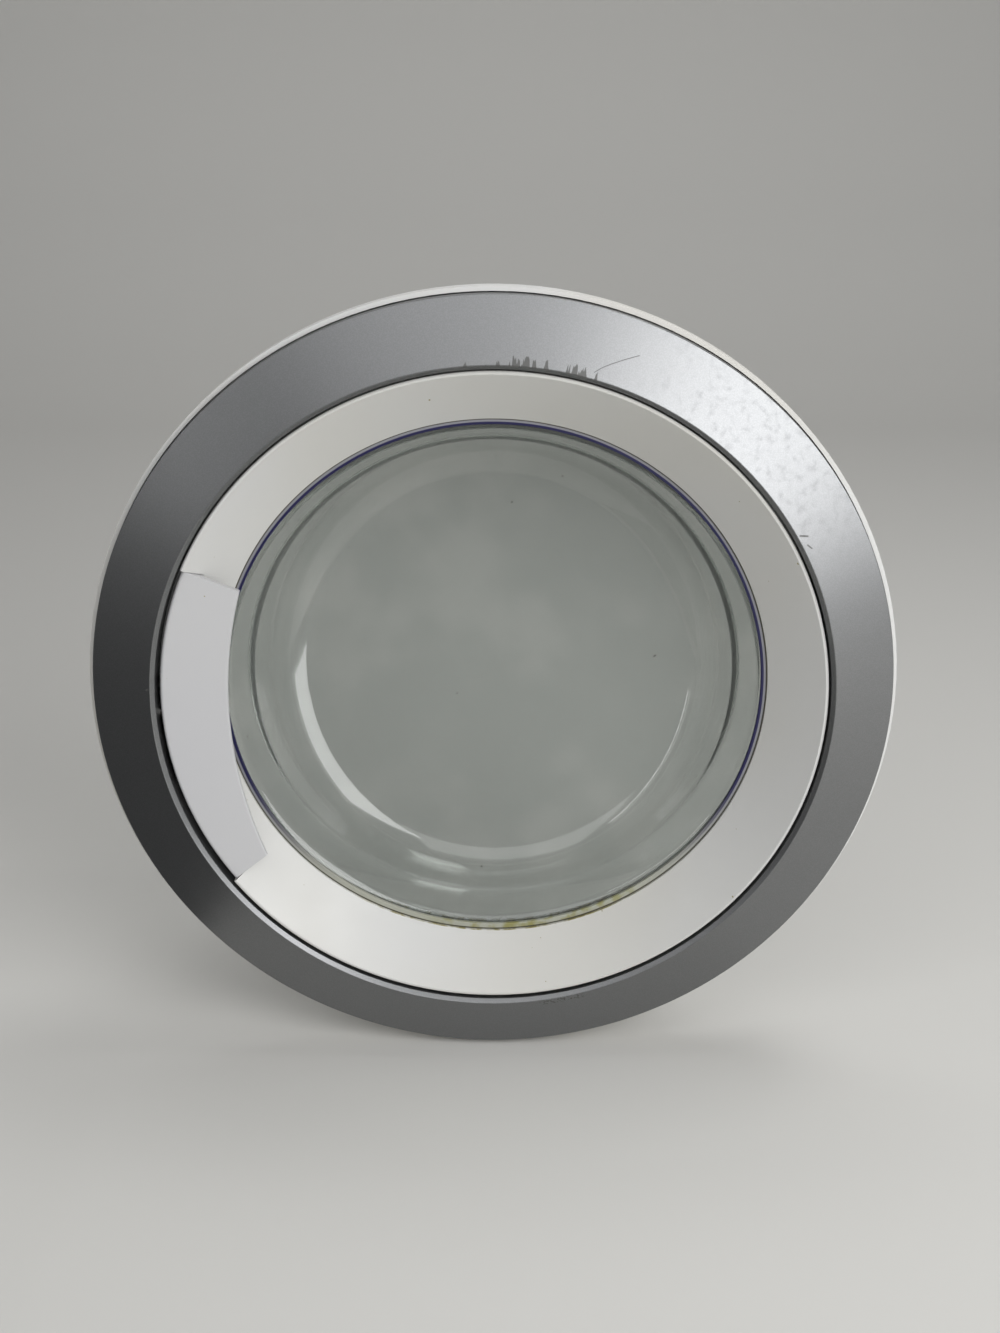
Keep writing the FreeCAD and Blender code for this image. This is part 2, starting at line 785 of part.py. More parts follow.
def hinge_bushes():
    """Flanged plastic bushes, one pressed into each side of each eye."""
    bushes = []
    middle = (arm_near + arm_far) / 2
    for face, outward in ((arm_near, -1), (arm_far, 1)):
        start = spot(hinge_x, -hinge_height, middle)
        seat = spot(hinge_x, -hinge_height, face)
        end = seat + UP * (outward * bush_flange)
        sleeve = rod(bush_radius, start, seat)
        flange = rod(bush_radius + bush_flange_width, seat, end)
        bore = rod(hinge_pin_radius + running_clearance, start, end)
        bushes += mirrored_pair(sleeve.fuse(flange).cut(bore).removeSplitter())
    return bushes


def hinge_pin():
    """Steel pin on which the door swings."""
    return rod(
        hinge_pin_radius,
        spot(hinge_x, -hinge_height, -hinge_pin_half),
        spot(hinge_x, -hinge_height, hinge_pin_half),
    )


def hinge_clips():
    """Retaining rings on the hinge pin."""
    return clips(hinge_x, -hinge_height, hinge_pin_radius, end_far)


def hinge_bearing():
    """Die-cast bearing inside the door: a web with three blocks on the rear wall that hold the hinge pin."""
    section = [
        (bearing_inner_x, -frame_wall),
        (bearing_inner_x, -bearing_height, bearing_round),
        (bearing_outer_x, -bearing_height, bearing_round),
        (bearing_outer_x, -frame_wall),
    ]
    body = prism(section, -end_far, end_far)
    arm_room = block(
        (bearing_inner_x, bearing_outer_x), (-web_height, 0), (block_half, end_near)
    )
    bore = rod(
        hinge_pin_radius + screw_clearance,
        spot(hinge_x, -hinge_height, -end_far),
        spot(hinge_x, -hinge_height, end_far),
    )
    threads = [
        rod(flat_screw_radius + screw_clearance, place, place + FRONT * bearing_screw_length)
        for place in bearing_screw_spots()
    ]
    return body.cut(mirrored_pair(arm_room) + [bore] + threads).removeSplitter()


def bearing_screws():
    """Countersunk screws that hold the hinge bearing."""
    return [flat_screw(place, bearing_screw_length) for place in bearing_screw_spots()]


PIECES = [
    outer_ring, trim_ring, glass_bowl, glass_seal, rear_frame, frame_screws,
    handle, handle_pin, pin_clips, latch_bracket, bracket_screws, latch_hook, handle_spring, hook_spring,
    hinge_leaf, hinge_bushes, hinge_pin, hinge_clips, hinge_bearing, bearing_screws,
]


def main():
    """Writes each piece to its own file."""
    os.makedirs("parts", exist_ok=True)
    for piece in PIECES:
        shape = piece()
        if isinstance(shape, list):
            shape = Part.makeCompound(shape)
        shape.exportStep(f"parts/{piece.__name__}.step")


main()
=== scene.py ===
"""Looks of a front-loader washing machine door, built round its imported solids.

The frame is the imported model's own: metres, +X to the right, +Z up, and the front of the door faces -Y.
Sizes in the classes are millimetres in the same frame: radii run from the porthole axis, and y runs from the
closing plane to the back. Angles run counter-clockwise from +X as the door is seen from the front.
"""
import logging
import math
from dataclasses import dataclass, field
from enum import Enum
from typing import Any, NamedTuple, Sequence

import bpy
from mathutils import Matrix, Vector


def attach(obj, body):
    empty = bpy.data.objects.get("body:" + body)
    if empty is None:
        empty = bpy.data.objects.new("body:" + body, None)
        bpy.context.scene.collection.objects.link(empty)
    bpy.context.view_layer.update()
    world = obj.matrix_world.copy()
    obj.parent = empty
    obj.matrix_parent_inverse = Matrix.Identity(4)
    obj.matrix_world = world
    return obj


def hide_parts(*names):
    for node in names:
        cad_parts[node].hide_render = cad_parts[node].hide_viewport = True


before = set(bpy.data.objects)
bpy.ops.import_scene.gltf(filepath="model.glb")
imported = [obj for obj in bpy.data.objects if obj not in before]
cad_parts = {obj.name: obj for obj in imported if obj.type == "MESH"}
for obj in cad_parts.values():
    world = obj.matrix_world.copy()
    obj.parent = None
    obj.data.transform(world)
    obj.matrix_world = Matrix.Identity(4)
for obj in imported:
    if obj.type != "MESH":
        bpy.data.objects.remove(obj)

LOG = logging.getLogger("door")
MM = 0.001
FULL_TURN = 360.0
RING_STEPS = 360
SMALL_STEPS = 40
BEND_STEPS = 4
MERGE_GAP = 0.001 * MM
SMOOTH_ANGLE = math.radians(32.0)
FLAT_ANGLE = math.radians(0.2)
SMOOTH_STEP = {"interpolation_type": "SMOOTHSTEP"}

Piece = bpy.types.Object
Socket = bpy.types.NodeSocket
Point = tuple[float, float]
Corner = tuple[float, float, float]


class Body(Enum):
    """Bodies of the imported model."""

    HINGE = "hinge"
    DOOR = "door"
    PULL = "pull"
    HOOK = "hook"


class Shaping(Enum):
    """Ways in which one shape works on another."""

    CUT = "DIFFERENCE"
    JOIN = "UNION"
    KEEP = "INTERSECT"


# Outlines

def rounded(corners: Sequence[Corner], closed: bool) -> list[Point]:
    """Rounds the corners of an outline.

    Args:
        corners: Radius, y and rounding of each corner in millimetres.
        closed: Whether the last corner joins the first.

    Returns:
        The outline's points in millimetres.
    """
    points: list[Point] = []
    for index, (x, y, bend) in enumerate(corners):
        at_end = not closed and index in (0, len(corners) - 1)
        if bend == 0.0 or at_end:
            points.append((x, y))
            continue
        here = Vector((x, y))
        before = (Vector(corners[index - 1][:2]) - here).normalized()
        after = (Vector(corners[(index + 1) % len(corners)][:2]) - here).normalized()
        half = before.angle(after) / 2
        centre = here + (before + after).normalized() * (bend / math.sin(half))
        start = here + before * (bend / math.tan(half)) - centre
        end = here + after * (bend / math.tan(half)) - centre
        steps = max(BEND_STEPS, round(BEND_STEPS * math.sqrt(bend)))
        spokes = [start.lerp(end, step / steps).normalized() * bend for step in range(steps + 1)]
        points += [tuple(centre + spoke) for spoke in spokes]
    return points


def wall_corners(chain: Sequence[Corner], wall: float, edge_round: float) -> list[Corner]:
    """Gives a line of corners an even wall on its right-hand side.

    Args:
        chain: Radius, y and inside bend of each corner of the left face.
        wall: Thickness of the wall.
        edge_round: Rounding of the wall's two free edges.

    Returns:
        Corners of the wall's outline, the right face first.
    """
    left: list[Corner] = []
    right: list[Corner] = []
    for index, (x, y, bend) in enumerate(chain):
        here = Vector((x, y))
        steps = [
            (Vector(second[:2]) - Vector(first[:2])).normalized()
            for first, second in zip(chain[max(index - 1, 0):index + 2], chain[max(index, 1):index + 2])
        ]
        sides = [Vector((step.y, -step.x)) for step in steps]
        mitre = (sides[0] + sides[-1]).normalized()
        far = here + mitre * (wall / mitre.dot(sides[0]))
        turns_left = steps[0].cross(steps[-1]) > 0
        at_end = index in (0, len(chain) - 1)
        inside = edge_round if at_end else bend
        outside = edge_round if at_end else bend + wall
        left.append((x, y, inside if turns_left else outside))
        right.append((far.x, far.y, outside if turns_left else inside))
    return right[::-1] + left


def on_circle(radius: float, angle: float) -> Point:
    """X and Z at a radius and an angle in degrees round the porthole axis."""
    return radius * math.cos(math.radians(angle)), radius * math.sin(math.radians(angle))


# Modelling

def select_only(piece: Piece) -> None:
    """Makes one object the only selected and the active one."""
    bpy.ops.object.select_all(action="DESELECT")
    piece.select_set(True)
    bpy.context.view_layer.objects.active = piece


def draw_outline(name: str, points: Sequence[Vector], closed: bool) -> Piece:
    """Draws a line of edges by extruding one vertex from point to point.

    Args:
        name: Name of the new object.
        points: Points of the line in metres.
        closed: Whether the line goes back to its first point.

    Returns:
        The new object, left in edit mode with everything selected.
    """
    bpy.ops.object.select_all(action="DESELECT")
    bpy.ops.mesh.primitive_plane_add(size=MM, location=(0.0, 0.0, 0.0))
    piece = bpy.context.active_object
    piece.name = name
    piece.data.name = name
    bpy.ops.object.mode_set(mode="EDIT")
    bpy.ops.mesh.select_mode(type="VERT")
    bpy.ops.mesh.select_all(action="SELECT")
    bpy.ops.mesh.merge(type="CENTER")
    bpy.ops.transform.translate(value=points[0])
    route = list(points) + list(points[:1] if closed else [])
    for before, after in zip(route, route[1:]):
        bpy.ops.mesh.extrude_vertices_move(TRANSFORM_OT_translate={"value": after - before})
    bpy.ops.mesh.select_all(action="SELECT")
    bpy.ops.mesh.remove_doubles(threshold=MERGE_GAP)
    return piece


def turn_outline(
    name: str, corners: Sequence[Corner], closed: bool = True, steps: int = RING_STEPS,
    start: float = 0.0, span: float = FULL_TURN, centre: Point = (0.0, 0.0),
) -> Piece:
    """Spins a rounded outline round an axis along Y into a closed shape.

    Args:
        name: Name of the new object.
        corners: Radius from the axis, y and rounding of each corner in millimetres.
        closed: Whether the outline is a loop; an open one starts and ends on the axis.
        steps: Number of steps of the spin.
        start: Angle of the outline in degrees.
        span: Angle of the spin in degrees.
        centre: X and Z of the axis in millimetres.

    Returns:
        The new object in object mode, with its faces outwards.
    """
    along = Vector((math.cos(math.radians(start)), 0.0, math.sin(math.radians(start))))
    axis_point = Vector((centre[0], 0.0, centre[1])) * MM
    line = rounded(corners, closed)
    points = [axis_point + along * (x * MM) + Vector((0.0, y * MM, 0.0)) for x, y in line]
    piece = draw_outline(name, points, closed)
    bpy.ops.mesh.spin(steps=steps, angle=math.radians(span), center=axis_point, axis=(0.0, 1.0, 0.0))
    bpy.ops.mesh.select_all(action="SELECT")
    bpy.ops.mesh.remove_doubles(threshold=MERGE_GAP)
    if span < FULL_TURN:
        bpy.ops.mesh.select_all(action="SELECT")
        bpy.ops.mesh.fill_holes(sides=0)
    bpy.ops.mesh.select_all(action="SELECT")
    bpy.ops.mesh.normals_make_consistent(inside=False)
    bpy.ops.object.mode_set(mode="OBJECT")
    return piece


def block(low: Sequence[float], high: Sequence[float], angle: float = 0.0) -> Piece:
    """Adds a block, turned by an angle round the porthole axis.

    Args:
        low: Lowest corner in millimetres, before the turn.
        high: Highest corner.
        angle: Angle in degrees.

    Returns:
        The block.
    """
    size = [(b - a) * MM for a, b in zip(low, high)]
    middle = Vector([(a + b) / 2 * MM for a, b in zip(low, high)])
    turn = math.radians(angle)
    place = Vector((
        middle.x * math.cos(turn) - middle.z * math.sin(turn),
        middle.y,
        middle.x * math.sin(turn) + middle.z * math.cos(turn),
    ))
    bpy.ops.object.select_all(action="DESELECT")
    bpy.ops.mesh.primitive_cube_add(size=1.0, location=place, rotation=(0.0, -turn, 0.0), scale=size)
    bpy.ops.object.transform_apply(location=True, rotation=True, scale=True)
    return bpy.context.active_object


def shape_with(piece: Piece, tools: Sequence[Piece], way: Shaping) -> None:
    """Cuts, joins or trims a piece with other shapes, which are used up.

    Args:
        piece: Piece that is shaped.
        tools: Shapes that work on it, in order.
        way: What they do.
    """
    for tool in tools:
        select_only(piece)
        change = piece.modifiers.new(way.name.lower(), "BOOLEAN")
        change.operation = way.value
        change.object = tool
        change.solver = "EXACT"
        bpy.ops.object.modifier_apply(modifier=change.name)
        bpy.data.objects.remove(tool)


def joined(pieces: Sequence[Piece]) -> Piece:
    """Makes several objects one.

    Args:
        pieces: Objects to join, the first of which gives the name.

    Returns:
        The joined object.
    """
    select_only(pieces[0])
    for piece in pieces:
        piece.select_set(True)
    bpy.ops.object.join()
    return bpy.context.active_object


def smooth(piece: Piece) -> None:
    """Shades a piece smooth across its gentle edges, with broad faces kept flat.

    Args:
        piece: The piece.
    """
    select_only(piece)
    bpy.ops.object.shade_smooth_by_angle(angle=SMOOTH_ANGLE)
    weighting = piece.modifiers.new("broad_faces", "WEIGHTED_NORMAL")
    weighting.keep_sharp = True
    bpy.ops.object.modifier_apply(modifier=weighting.name)


def smooth_copy(node: str, name: str) -> Piece:
    """Copies a solid's mesh into a new piece, with its flat faces whole and its round faces smooth.

    Args:
        node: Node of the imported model.
        name: Name of the new piece.

    Returns:
        The new piece.
    """
    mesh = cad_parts[node].data.copy()
    piece = bpy.data.objects.new(name, mesh)
    mesh.name = name
    bpy.context.scene.collection.objects.link(piece)
    select_only(piece)
    bpy.ops.object.mode_set(mode="EDIT")
    bpy.ops.mesh.select_all(action="SELECT")
    bpy.ops.mesh.remove_doubles(threshold=MERGE_GAP)
    bpy.ops.mesh.dissolve_limited(angle_limit=FLAT_ANGLE)
    bpy.ops.object.mode_set(mode="OBJECT")
    smooth(piece)
    return piece


# Materials

class Patches(NamedTuple):
    """Cloudy patches of one size, and the levels of the cloud between which they come in."""

    size_mm: float
    low: float
    high: float
    detail: float = 2.0
    seed: float = 0.0


class Relief(NamedTuple):
    """Fine relief of a skin, as coarse as it needs to be to show."""

    size_mm: float
    depth_mm: float
    detail: float = 2.0
    seed: float = 0.0


class Stretch(NamedTuple):
    """Range of angles in degrees or of radii in millimetres, and half the width of its soft ends."""

    low: float
    high: float
    soft: float


def linear(code: str) -> tuple[float, float, float, float]:
    """Turns an sRGB hex colour to linear light.

    Args:
        code: Six hex digits after a hash sign.

    Returns:
        Red, green, blue and an alpha of one.
    """
    parts = [int(code[index:index + 2], 16) / 255 for index in (1, 3, 5)]
    light = [part / 12.92 if part <= 0.04045 else ((part + 0.055) / 1.055) ** 2.4 for part in parts]
    return (*light, 1.0)


def add_node(
    tree: bpy.types.NodeTree, kind: str, settings: dict[Any, Any] | None = None,
    links: dict[Any, Socket] | None = None,
) -> bpy.types.Node:
    """Adds a node with its settings and links.

    Args:
        tree: Tree that gets the node.
        kind: Type name of the node.
        settings: Values by input name or number, or by property name.
        links: Sockets that feed its inputs, by input name or number.

    Returns:
        The new node.
    """
    node = tree.nodes.new(kind)
    for key, value in (settings or {}).items():
        if isinstance(key, int) or key in node.inputs:
            node.inputs[key].default_value = value
        else:
            setattr(node, key, value)
    for key, socket in (links or {}).items():
        tree.links.new(socket, node.inputs[key])
    return node


@dataclass
class DoorPlaces:
    """Sockets with a point's place on the door, in metres and radians, and masks made from them."""

    tree: bpy.types.NodeTree
    scratch_edge: float = 0.3

    def __post_init__(self) -> None:
        """Adds the nodes that give the radius and the angle round the porthole axis."""
        self.point = add_node(self.tree, "ShaderNodeTexCoord").outputs["Object"]
        parts = add_node(self.tree, "ShaderNodeSeparateXYZ", {}, {"Vector": self.point}).outputs
        flat = add_node(self.tree, "ShaderNodeCombineXYZ", {}, {"X": parts["X"], "Z": parts["Z"]})
        length = add_node(self.tree, "ShaderNodeVectorMath", {"operation": "LENGTH"}, {0: flat.outputs[0]})
        self.radius = length.outputs["Value"]
        turn = add_node(
            self.tree, "ShaderNodeMath", {"operation": "ARCTAN2"}, {0: parts["Z"], 1: parts["X"]}
        )
        self.angle = turn.outputs[0]

    def combined(self, operation: str, *masks: Socket) -> Socket:
        """Folds masks into one.

        Args:
            operation: MULTIPLY for what is in all of them, MAXIMUM for what is in any.
            masks: Masks to fold, in order.

        Returns:
            The folded mask.
        """
        result = masks[0]
        for mask in masks[1:]:
            node = add_node(self.tree, "ShaderNodeMath", {"operation": operation}, {0: result, 1: mask})
            result = node.outputs[0]
        return result

    def between(self, value: Socket, low: float, high: float, soft: float) -> Socket:
        """Makes a mask of the values between two limits.

        Args:
            value: Socket with the value.
            low: Lower limit.
            high: Upper limit.
            soft: Half the width of the soft ends.

        Returns:
            The mask.
        """
        ends = [
            add_node(self.tree, "ShaderNodeMapRange", {
                **SMOOTH_STEP, 1: limit - soft, 2: limit + soft, 3: before, 4: 1.0 - before,
            }, {0: value}).outputs[0]
            for limit, before in ((low, 0.0), (high, 1.0))
        ]
        return self.combined("MULTIPLY", *ends)

    def arc(self, stretch: Stretch) -> Socket:
        """Mask of the stretch between two angles, from -180 to 180."""
        return self.between(self.angle, *(math.radians(value) for value in stretch))

    def band(self, stretch: Stretch) -> Socket:
        """Mask of the band between two radii."""
        return self.between(self.radius, *(value * MM for value in stretch))

    def patches(self, look: Patches, least: float = 0.0, most: float = 1.0) -> Socket:
        """Makes cloudy patches.

        Args:
            look: Size and levels of the patches.
            least: Value between the patches.
            most: Value in them.

        Returns:
            The mask.
        """
        cloud = add_node(self.tree, "ShaderNodeTexNoise", {
            "noise_dimensions": "4D", "Scale": 1.0 / (look.size_mm * MM),
            "Detail": look.detail, "W": look.seed,
        }, {"Vector": self.point})
        mask = add_node(self.tree, "ShaderNodeMapRange", {
            **SMOOTH_STEP, 1: look.low, 2: look.high, 3: least, 4: most,
        }, {0: cloud.outputs[0]})
        return mask.outputs[0]

    def scratch(self, start: Point, end: Point, half_mm: float) -> Socket:
        """Makes a mask of a straight scratch.

        Args:
            start: Radius and angle of its start.
            end: Radius and angle of its end.
            half_mm: Half its width.

        Returns:
            The mask.
        """
        first, last = (Vector(on_circle(*place)) * MM for place in (start, end))
        way = (last - first).normalized()
        side = Vector((-way.y, way.x))
        along, across = (
            add_node(self.tree, "ShaderNodeVectorMath", {
                "operation": "DOT_PRODUCT", 1: (line.x, 0.0, line.y),
            }, {0: self.point}).outputs["Value"]
            for line in (way, side)
        )
        half = half_mm * MM
        soft = self.scratch_edge * half
        middle = side.dot(first)
        return self.combined(
            "MULTIPLY",
            self.between(across, middle - half + soft, middle + half - soft, soft),
            self.between(along, way.dot(first) - half / 2, way.dot(last) + half / 2, half / 2),
        )


@dataclass(frozen=True)
class Finish:
    """What every finish has: a name, a colour and the shader's plain values."""

    name: str
    colour: str
    roughness: float
    metallic: float = 0.0

    def start(self) -> tuple[bpy.types.Material, bpy.types.Node, DoorPlaces]:
        """Starts the material.

        Returns:
            The material, its main shader and the door's places.
        """
        material = bpy.data.materials.new(self.name)
        material.use_nodes = True
        shader = material.node_tree.nodes["Principled BSDF"]
        shader.inputs["Base Color"].default_value = linear(self.colour)
        shader.inputs["Roughness"].default_value = self.roughness
        shader.inputs["Metallic"].default_value = self.metallic
        return material, shader, DoorPlaces(material.node_tree)

    def lay(self, shader: bpy.types.Node, mask: Socket, **values: str | float) -> None:
        """Lays a layer over what the shader has, where a mask is.

        Args:
            shader: Main shader of the material.
            mask: Share of the layer.
            values: Hex colour or number of each input that changes, named with underscores for spaces.
        """
        tree = shader.id_data
        for name, value in values.items():
            target = shader.inputs[name.replace("_", " ")]
            if isinstance(value, str):
                under = {6: target.links[0].from_socket} if target.is_linked else {}
                layer = add_node(tree, "ShaderNodeMix", {
                    "data_type": "RGBA", 6: target.default_value, 7: linear(value),
                }, {0: mask, **under}).outputs[2]
            else:
                layer = add_node(tree, "ShaderNodeMapRange", {
                    **SMOOTH_STEP, 3: target.default_value, 4: value,
                }, {0: mask}).outputs[0]
            tree.links.new(layer, target)

    def emboss(self, shader: bpy.types.Node, places: DoorPlaces, skin: Relief) -> None:
        """Gives the shader a relief of a known depth.

        Args:
            shader: Main shader of the material.
            places: Places on the door.
            skin: Relief of the skin.
        """
        lumps = add_node(places.tree, "ShaderNodeTexNoise", {
            "noise_dimensions": "4D", "Scale": 1.0 / (skin.size_mm * MM),
            "Detail": skin.detail, "W": skin.seed,
        }, {"Vector": places.point})
        relief = add_node(places.tree, "ShaderNodeBump", {
            "Strength": 1.0, "Distance": skin.depth_mm * MM,
        }, {"Height": lumps.outputs[0]})
        places.tree.links.new(relief.outputs[0], shader.inputs["Normal"])


@dataclass(frozen=True)
class MetallicPaint(Finish):
    """Sprayed silver paint on moulded plastic: a broad soft highlight, fine flake and a scuffed ridge."""

    flake_colour: str = "#8a8b8c"
    # Real flake is a few hundredths of a millimetre: this one is coarse enough to show.
    flake: Patches = Patches(0.6, 0.38, 0.66, 1.0)
    blotch: Patches = Patches(4.0, 0.42, 0.75, 3.0, 3.0)
    blotch_arc: Stretch = Stretch(20.0, 66.0, 14.0)
    blotch_dulling: float = 0.06
    worn_colour: str = "#50504e"
    worn_metallic: float = 0.15
    chip: Patches = Patches(1.6, 0.52, 0.58, 2.0, 2.0)
    chip_arc: Stretch = Stretch(-81.5, -74.0, 1.0)
    chip_band: Stretch = Stretch(184.6, 188.4, 0.5)
    skin: Relief = Relief(2.4, 0.012, 2.0, 5.0)
    ridge_radius: float = 184.2
    tooth_mm: float = 2.4
    tooth_low: float = 0.30
    tooth_high: float = 0.62
    tooth_reach_mm: float = 5.6
    tooth_edge_mm: float = 0.7
    tooth_strength: float = 0.9
    tooth_foot_mm: float = 0.3
    tooth_soft: float = 0.25
    tooth_arcs: tuple[Point, ...] = (
        (83.3, 87.4), (81.4, 82.0), (75.4, 78.6), (73.7, 74.5), (89.0, 89.4), (90.6, 91.0), (94.1, 94.5),
    )
    scratches: tuple[tuple[float, tuple[Point, ...]], ...] = (
        (0.25, ((187.9, 74.32), (191.1, 73.31), (193.7, 72.27), (198.0, 70.46), (202.2, 68.64))),
        (0.6, ((186.0, 31.2), (189.4, 30.4))),
        (0.5, ((187.2, 29.2), (188.4, 28.3))),
        (0.5, ((185.6, 176.6), (186.6, 176.8))),
    )

    def scuffs(self, places: DoorPlaces) -> Socket:
        """Mask of the scuffs that stand on the ridge like teeth.

        Args:
            places: Places on the door.

        Returns:
            The mask.
        """
        tree = places.tree
        along = add_node(tree, "ShaderNodeMath", {
            "operation": "MULTIPLY", 1: self.ridge_radius / self.tooth_mm,
        }, {0: places.angle})
        teeth = add_node(tree, "ShaderNodeTexNoise", {
            "noise_dimensions": "1D", "Scale": 1.0, "Detail": 2.0,
        }, {"W": along.outputs[0]})
        height = add_node(tree, "ShaderNodeMapRange", {
            **SMOOTH_STEP, 1: self.tooth_low, 2: self.tooth_high, 4: self.tooth_reach_mm * MM,
        }, {0: teeth.outputs[0]})
        arcs = [places.arc(Stretch(low, high, self.tooth_soft)) for low, high in self.tooth_arcs]
        reach = places.combined("MULTIPLY", height.outputs[0], places.combined("MAXIMUM", *arcs))
        above = add_node(tree, "ShaderNodeMath", {
            "operation": "SUBTRACT", 1: self.ridge_radius * MM,
        }, {0: places.radius})
        inside = add_node(tree, "ShaderNodeMath", {"operation": "SUBTRACT"}, {0: reach, 1: above.outputs[0]})
        edges = [
            add_node(tree, "ShaderNodeMapRange", {
                **SMOOTH_STEP, 2: soft_mm * MM, 4: strength,
            }, {0: node.outputs[0]}).outputs[0]
            for node, soft_mm, strength in (
                (inside, self.tooth_edge_mm, self.tooth_strength), (above, self.tooth_foot_mm, 1.0),
            )
        ]
        return places.combined("MULTIPLY", *edges)

    def material(self) -> bpy.types.Material:
        """Builds the paint with its blotches, scuffs, chips and scratches.

        Returns:
            The material.
        """
        material, shader, places = self.start()
        blotch = places.combined("MULTIPLY", places.patches(self.blotch), places.arc(self.blotch_arc))
        chips = places.combined(
            "MULTIPLY", places.patches(self.chip), places.arc(self.chip_arc), places.band(self.chip_band)
        )
        lines = [
            places.scratch(first, last, half_mm)
            for half_mm, route in self.scratches for first, last in zip(route, route[1:])
        ]
        wear = places.combined("MAXIMUM", self.scuffs(places), chips, *lines)
        self.lay(shader, places.patches(self.flake), Base_Color=self.flake_colour)
        self.lay(shader, blotch, Roughness=self.roughness + self.blotch_dulling)
        self.lay(shader, wear, Base_Color=self.worn_colour, Metallic=self.worn_metallic)
        self.emboss(shader, places, self.skin)
        return material


@dataclass(frozen=True)
class MouldedPlastic(Finish):
    """Moulded ABS: a satin skin with a faint grain, and a slow drift of tone where it has yellowed."""

    aged_colour: str = "#c9c8c3"
    drift: Patches = Patches(140.0, 0.35, 0.65, 1.0)
    dull: Patches = Patches(24.0, 0.3, 0.7, 3.0, 6.0)
    glossier: float = 0.05
    duller: float = 0.06
    grime_colour: str = "#8d8558"
    speck: Patches = Patches(2.4, 0.86, 0.88, 0.0, 9.0)
    grime: Patches = Patches(5.0, 0.36, 0.6, 3.0, 4.0)
    grime_arc: Stretch = Stretch(-118.0, -58.0, 8.0)
    grime_band: Stretch = Stretch(150.0, 152.2, 0.15)
    skin: Relief = Relief(1.2, 0.004, 2.0, 1.0)

    def material(self) -> bpy.types.Material:
        """Builds the plastic with its tone, specks and the grime by the glass.

        Returns:
            The material.
        """
        material, shader, places = self.start()
        grime = places.combined(
            "MULTIPLY", places.patches(self.grime), places.arc(self.grime_arc), places.band(self.grime_band)
        )
        dirt = places.combined("MAXIMUM", places.patches(self.speck), grime)
        self.lay(shader, places.patches(self.drift), Base_Color=self.aged_colour)
        self.lay(shader, dirt, Base_Color=self.grime_colour)
        roughness = places.patches(self.dull, self.roughness - self.glossier, self.roughness + self.duller)
        places.tree.links.new(roughness, shader.inputs["Roughness"])
        self.emboss(shader, places, self.skin)
        return material


@dataclass(frozen=True)
class ClearGlass(Finish):
    """Pressed soda-lime glass: a grey-green tint that is partly painted shade, a dull film, smears and a few
    dried specks.
    """

    clearness: float = 0.9
    ior: float = 1.5
    film_colour: str = "#c9cdc9"
    film: Patches = Patches(42.0, 0.40, 0.68, 3.0, 7.0)
    speck_colour: str = "#5d5b52"
    speck: Patches = Patches(3.0, 0.86, 0.88, 0.0, 3.0)
    smear: Patches = Patches(46.0, 0.50, 0.72, 4.0, 2.0)
    streak: Patches = Patches(5.0, 0.3, 0.75, 3.0)
    smeared_roughness: float = 0.16

    def material(self) -> bpy.types.Material:
        """Builds the glass with its film, smears and specks.

        Returns:
            The material.
        """
        material, shader, places = self.start()
        shader.inputs["Transmission Weight"].default_value = self.clearness
        shader.inputs["IOR"].default_value = self.ior
        smear = places.combined("MULTIPLY", places.patches(self.smear), places.patches(self.streak))
        speck = places.patches(self.speck)
        self.lay(shader, places.patches(self.film), Base_Color=self.film_colour)
        self.lay(shader, speck, Base_Color=self.speck_colour)
        self.lay(shader, places.combined("MAXIMUM", smear, speck), Roughness=self.smeared_roughness)
        return material


@dataclass(frozen=True)
class SealRubber(Finish):
    """Extruded matt dark blue rubber, paler at its root, grimy at the bottom, with a painted reflection
    there and a painted gap shadow.
    """

    root_colour: str = "#86868c"
    root_band: Stretch = Stretch(150.1, 160.0, 0.2)
    # Painted reflection: the seal is painted pale along its bottom, for the bright light that the glass's
    # edge reflects there.
    painted_reflection_colour: str = "#a6a79b"
    painted_reflection_arc: Stretch = Stretch(-140.0, -40.0, 20.0)
    grime_colour: str = "#8d8a58"
    grime_arc: Stretch = Stretch(-102.0, -58.0, 8.0)
    grime: Patches = Patches(6.0, 0.40, 0.62, 3.0, 4.0)
    # Painted shadow: a dark line on the seal beside the white ring's inner edge, where the gap lies in
    # shade.
    gap_shadow_colour: str = "#4c4b3e"
    gap_shadow_band: Stretch = Stretch(151.3, 170.0, 0.15)
    skin: Relief = Relief(0.8, 0.01)

    def material(self) -> bpy.types.Material:
        """Builds the rubber with its paler root, the painted reflection at the bottom, the grime in it and
        the painted gap shadow.

        Returns:
            The material.
        """
        material, shader, places = self.start()
        grime = places.combined("MULTIPLY", places.arc(self.grime_arc), places.patches(self.grime))
        self.lay(shader, places.band(self.root_band), Base_Color=self.root_colour)
        # Painted reflection: the pale bottom of the seal.
        self.lay(shader, places.arc(self.painted_reflection_arc), Base_Color=self.painted_reflection_colour)
        self.lay(shader, grime, Base_Color=self.grime_colour)
        # Painted shadow: the dark line by the white ring.
        self.lay(shader, places.band(self.gap_shadow_band), Base_Color=self.gap_shadow_colour)
        self.emboss(shader, places, self.skin)
        return material


